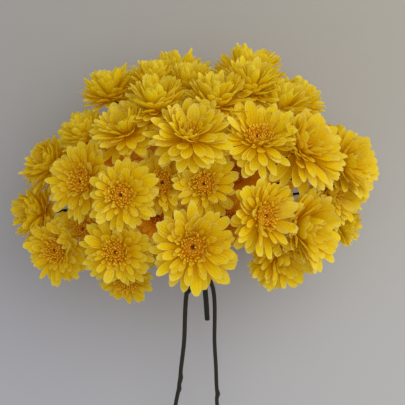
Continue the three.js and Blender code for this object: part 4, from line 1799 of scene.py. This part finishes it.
@dataclass(frozen=True)
class Studio:
    """The camera, the table and soft light."""

    lens: float = 84.4
    sensor: float = 36.0
    table_size: float = 30.0
    lamps: tuple[Lamp, ...] = (
        Lamp("key", (0.9, 0.5, 0.7), 1.2, 6.4, (0.98, 1.0, 0.95)),
        Lamp("top", (0.35, 0.35, 1.3), 1.2, 4.6, (0.99, 1.0, 0.97)),
    )
    sky: Colour = (0.98, 0.99, 1.0)
    sky_strength: float = 0.63

    def camera(self) -> None:
        """Sets the camera straight above the bunch."""
        data = bpy.data.cameras.new("camera")
        data.lens = self.lens
        data.sensor_width = self.sensor
        camera = linked("camera", data)
        camera.location = (CAMERA_AT[0] * MM, CAMERA_AT[1] * MM, (MIDDLE_HEIGHT + CAMERA_ABOVE) * MM)
        bpy.context.scene.camera = camera

    def table(self) -> None:
        """Lays the table under the bunch."""
        nothing_selected()
        bpy.ops.mesh.primitive_plane_add(size=self.table_size)
        table = bpy.context.object
        table.name = "table"
        table.data.materials.append(FloorFinish().material())

    def light(self) -> None:
        """Hangs the lamps, each turned to the middle of the dome, and sets an even grey sky."""
        target = Vector((CAMERA_AT[0] * MM, CAMERA_AT[1] * MM, MIDDLE_HEIGHT * MM))
        for lamp in self.lamps:
            data = bpy.data.lights.new(lamp.name, "AREA")
            data.energy = lamp.power
            data.size = lamp.size
            data.color = lamp.colour
            hung = linked(lamp.name, data)
            hung.location = lamp.place
            hung.rotation_euler = (target - hung.location).to_track_quat("-Z", "Y").to_euler()
        world = bpy.data.worlds.new("sky")
        world.use_nodes = True
        background = world.node_tree.nodes["Background"]
        background.inputs["Color"].default_value = (*self.sky, 1)
        background.inputs["Strength"].default_value = self.sky_strength
        bpy.context.scene.world = world
        bpy.context.scene.view_settings.view_transform = "Standard"


# ---- the bunch ----


@dataclass(frozen=True)
class Bunch:
    """The whole bunch: its blooms and its stems, made from shared blanks and finishes.

    Petals have petal_across faces round them, and more rings of faces from root to tip in the outer layers of a bloom
    than in the inner ones. Hidden blooms have the fewest rings. The other blanks give both numbers.
    """

    petal_across: int = 8
    outer_rings: int = 10
    inner_rings: int = 8
    hidden_rings: int = 6
    floret: tuple[int, int] = (6, 4)
    bract: tuple[int, int] = (6, 5)
    leaf: tuple[int, int] = (8, 24)

    def petals(self, rings: int) -> dict[PetalKind, Blank]:
        """The blanks of every kind of petal, with some rings."""
        return {kind: Blank(kind, self.petal_across, rings) for kind in (BROAD, NOTCHED, POINTED, SPOON)}

    def blooms(self) -> Iterator[bpy.types.Object]:
        """Grows and dresses the blooms.

        Yields:
            Each bloom, in the order of their places.
        """
        floret = Blank(PetalKind.FLORET, *self.floret)
        outer = {**self.petals(self.outer_rings), PetalKind.FLORET: floret}
        inner = self.petals(self.inner_rings)
        plain = {**self.petals(self.hidden_rings), PetalKind.FLORET: floret}
        petal, shaded, top_lit = (finish.material() for finish in (PETAL, SHADED_PETAL, TOP_LIT_PETAL))
        for number, place in enumerate(BLOOMS, 1):
            blanks = (plain, plain) if place.habit is Habit.HIDDEN else (outer, inner)
            # Painted shade for the blooms seen through gaps, painted light for those beyond the line
            finish = shaded if number in SHADED else top_lit if place.y > TOP_LIT_ABOVE else petal
            yield Bloom(number, place, *blanks, finish).grown()

    def stems(self) -> Iterator[bpy.types.Object]:
        """Grows and dresses the stems.

        Yields:
            Each side's stem, in the order of the sides.
        """
        bract, leaf = PetalKind.BRACT, PetalKind.LEAF
        blanks = {bract: Blank(bract, *self.bract), leaf: Blank(leaf, *self.leaf)}
        finishes = {
            "stem": StemFinish().material(),
            "cut": CutFinish().material(),
            "cup": BRACT_GREEN.material(),
            "leaf": LEAF_GREEN.material(),
        }
        for side in Side:
            yield SprayStem(side, blanks, finishes).grown()


def reported(piece: bpy.types.Object) -> int:
    """Reports a finished piece.

    Args:
        piece: the piece.

    Returns:
        How many triangles it has.
    """
    piece.data.calc_loop_triangles()
    triangles = len(piece.data.loop_triangles)
    log.info("%s has %d triangles", piece.name, triangles)
    return triangles


def main() -> None:
    """Builds the studio, the blooms and the stems in order."""
    logging.basicConfig(level=logging.INFO, format="%(name)s: %(message)s")
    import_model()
    studio = Studio()
    studio.camera()
    studio.table()
    studio.light()

    bunch = Bunch()
    triangles = 0
    for number, bloom in enumerate(bunch.blooms(), 1):
        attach(bloom, BODY)
        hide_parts(f"bloom_{number:02d}")
        triangles += reported(bloom)
    for side, spray in zip(Side, bunch.stems()):
        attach(spray, BODY)
        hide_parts(f"stem_{side.value}")
        triangles += reported(spray)
    log.info("%d triangles in all", triangles)


if __name__ == "__main__":
    main()
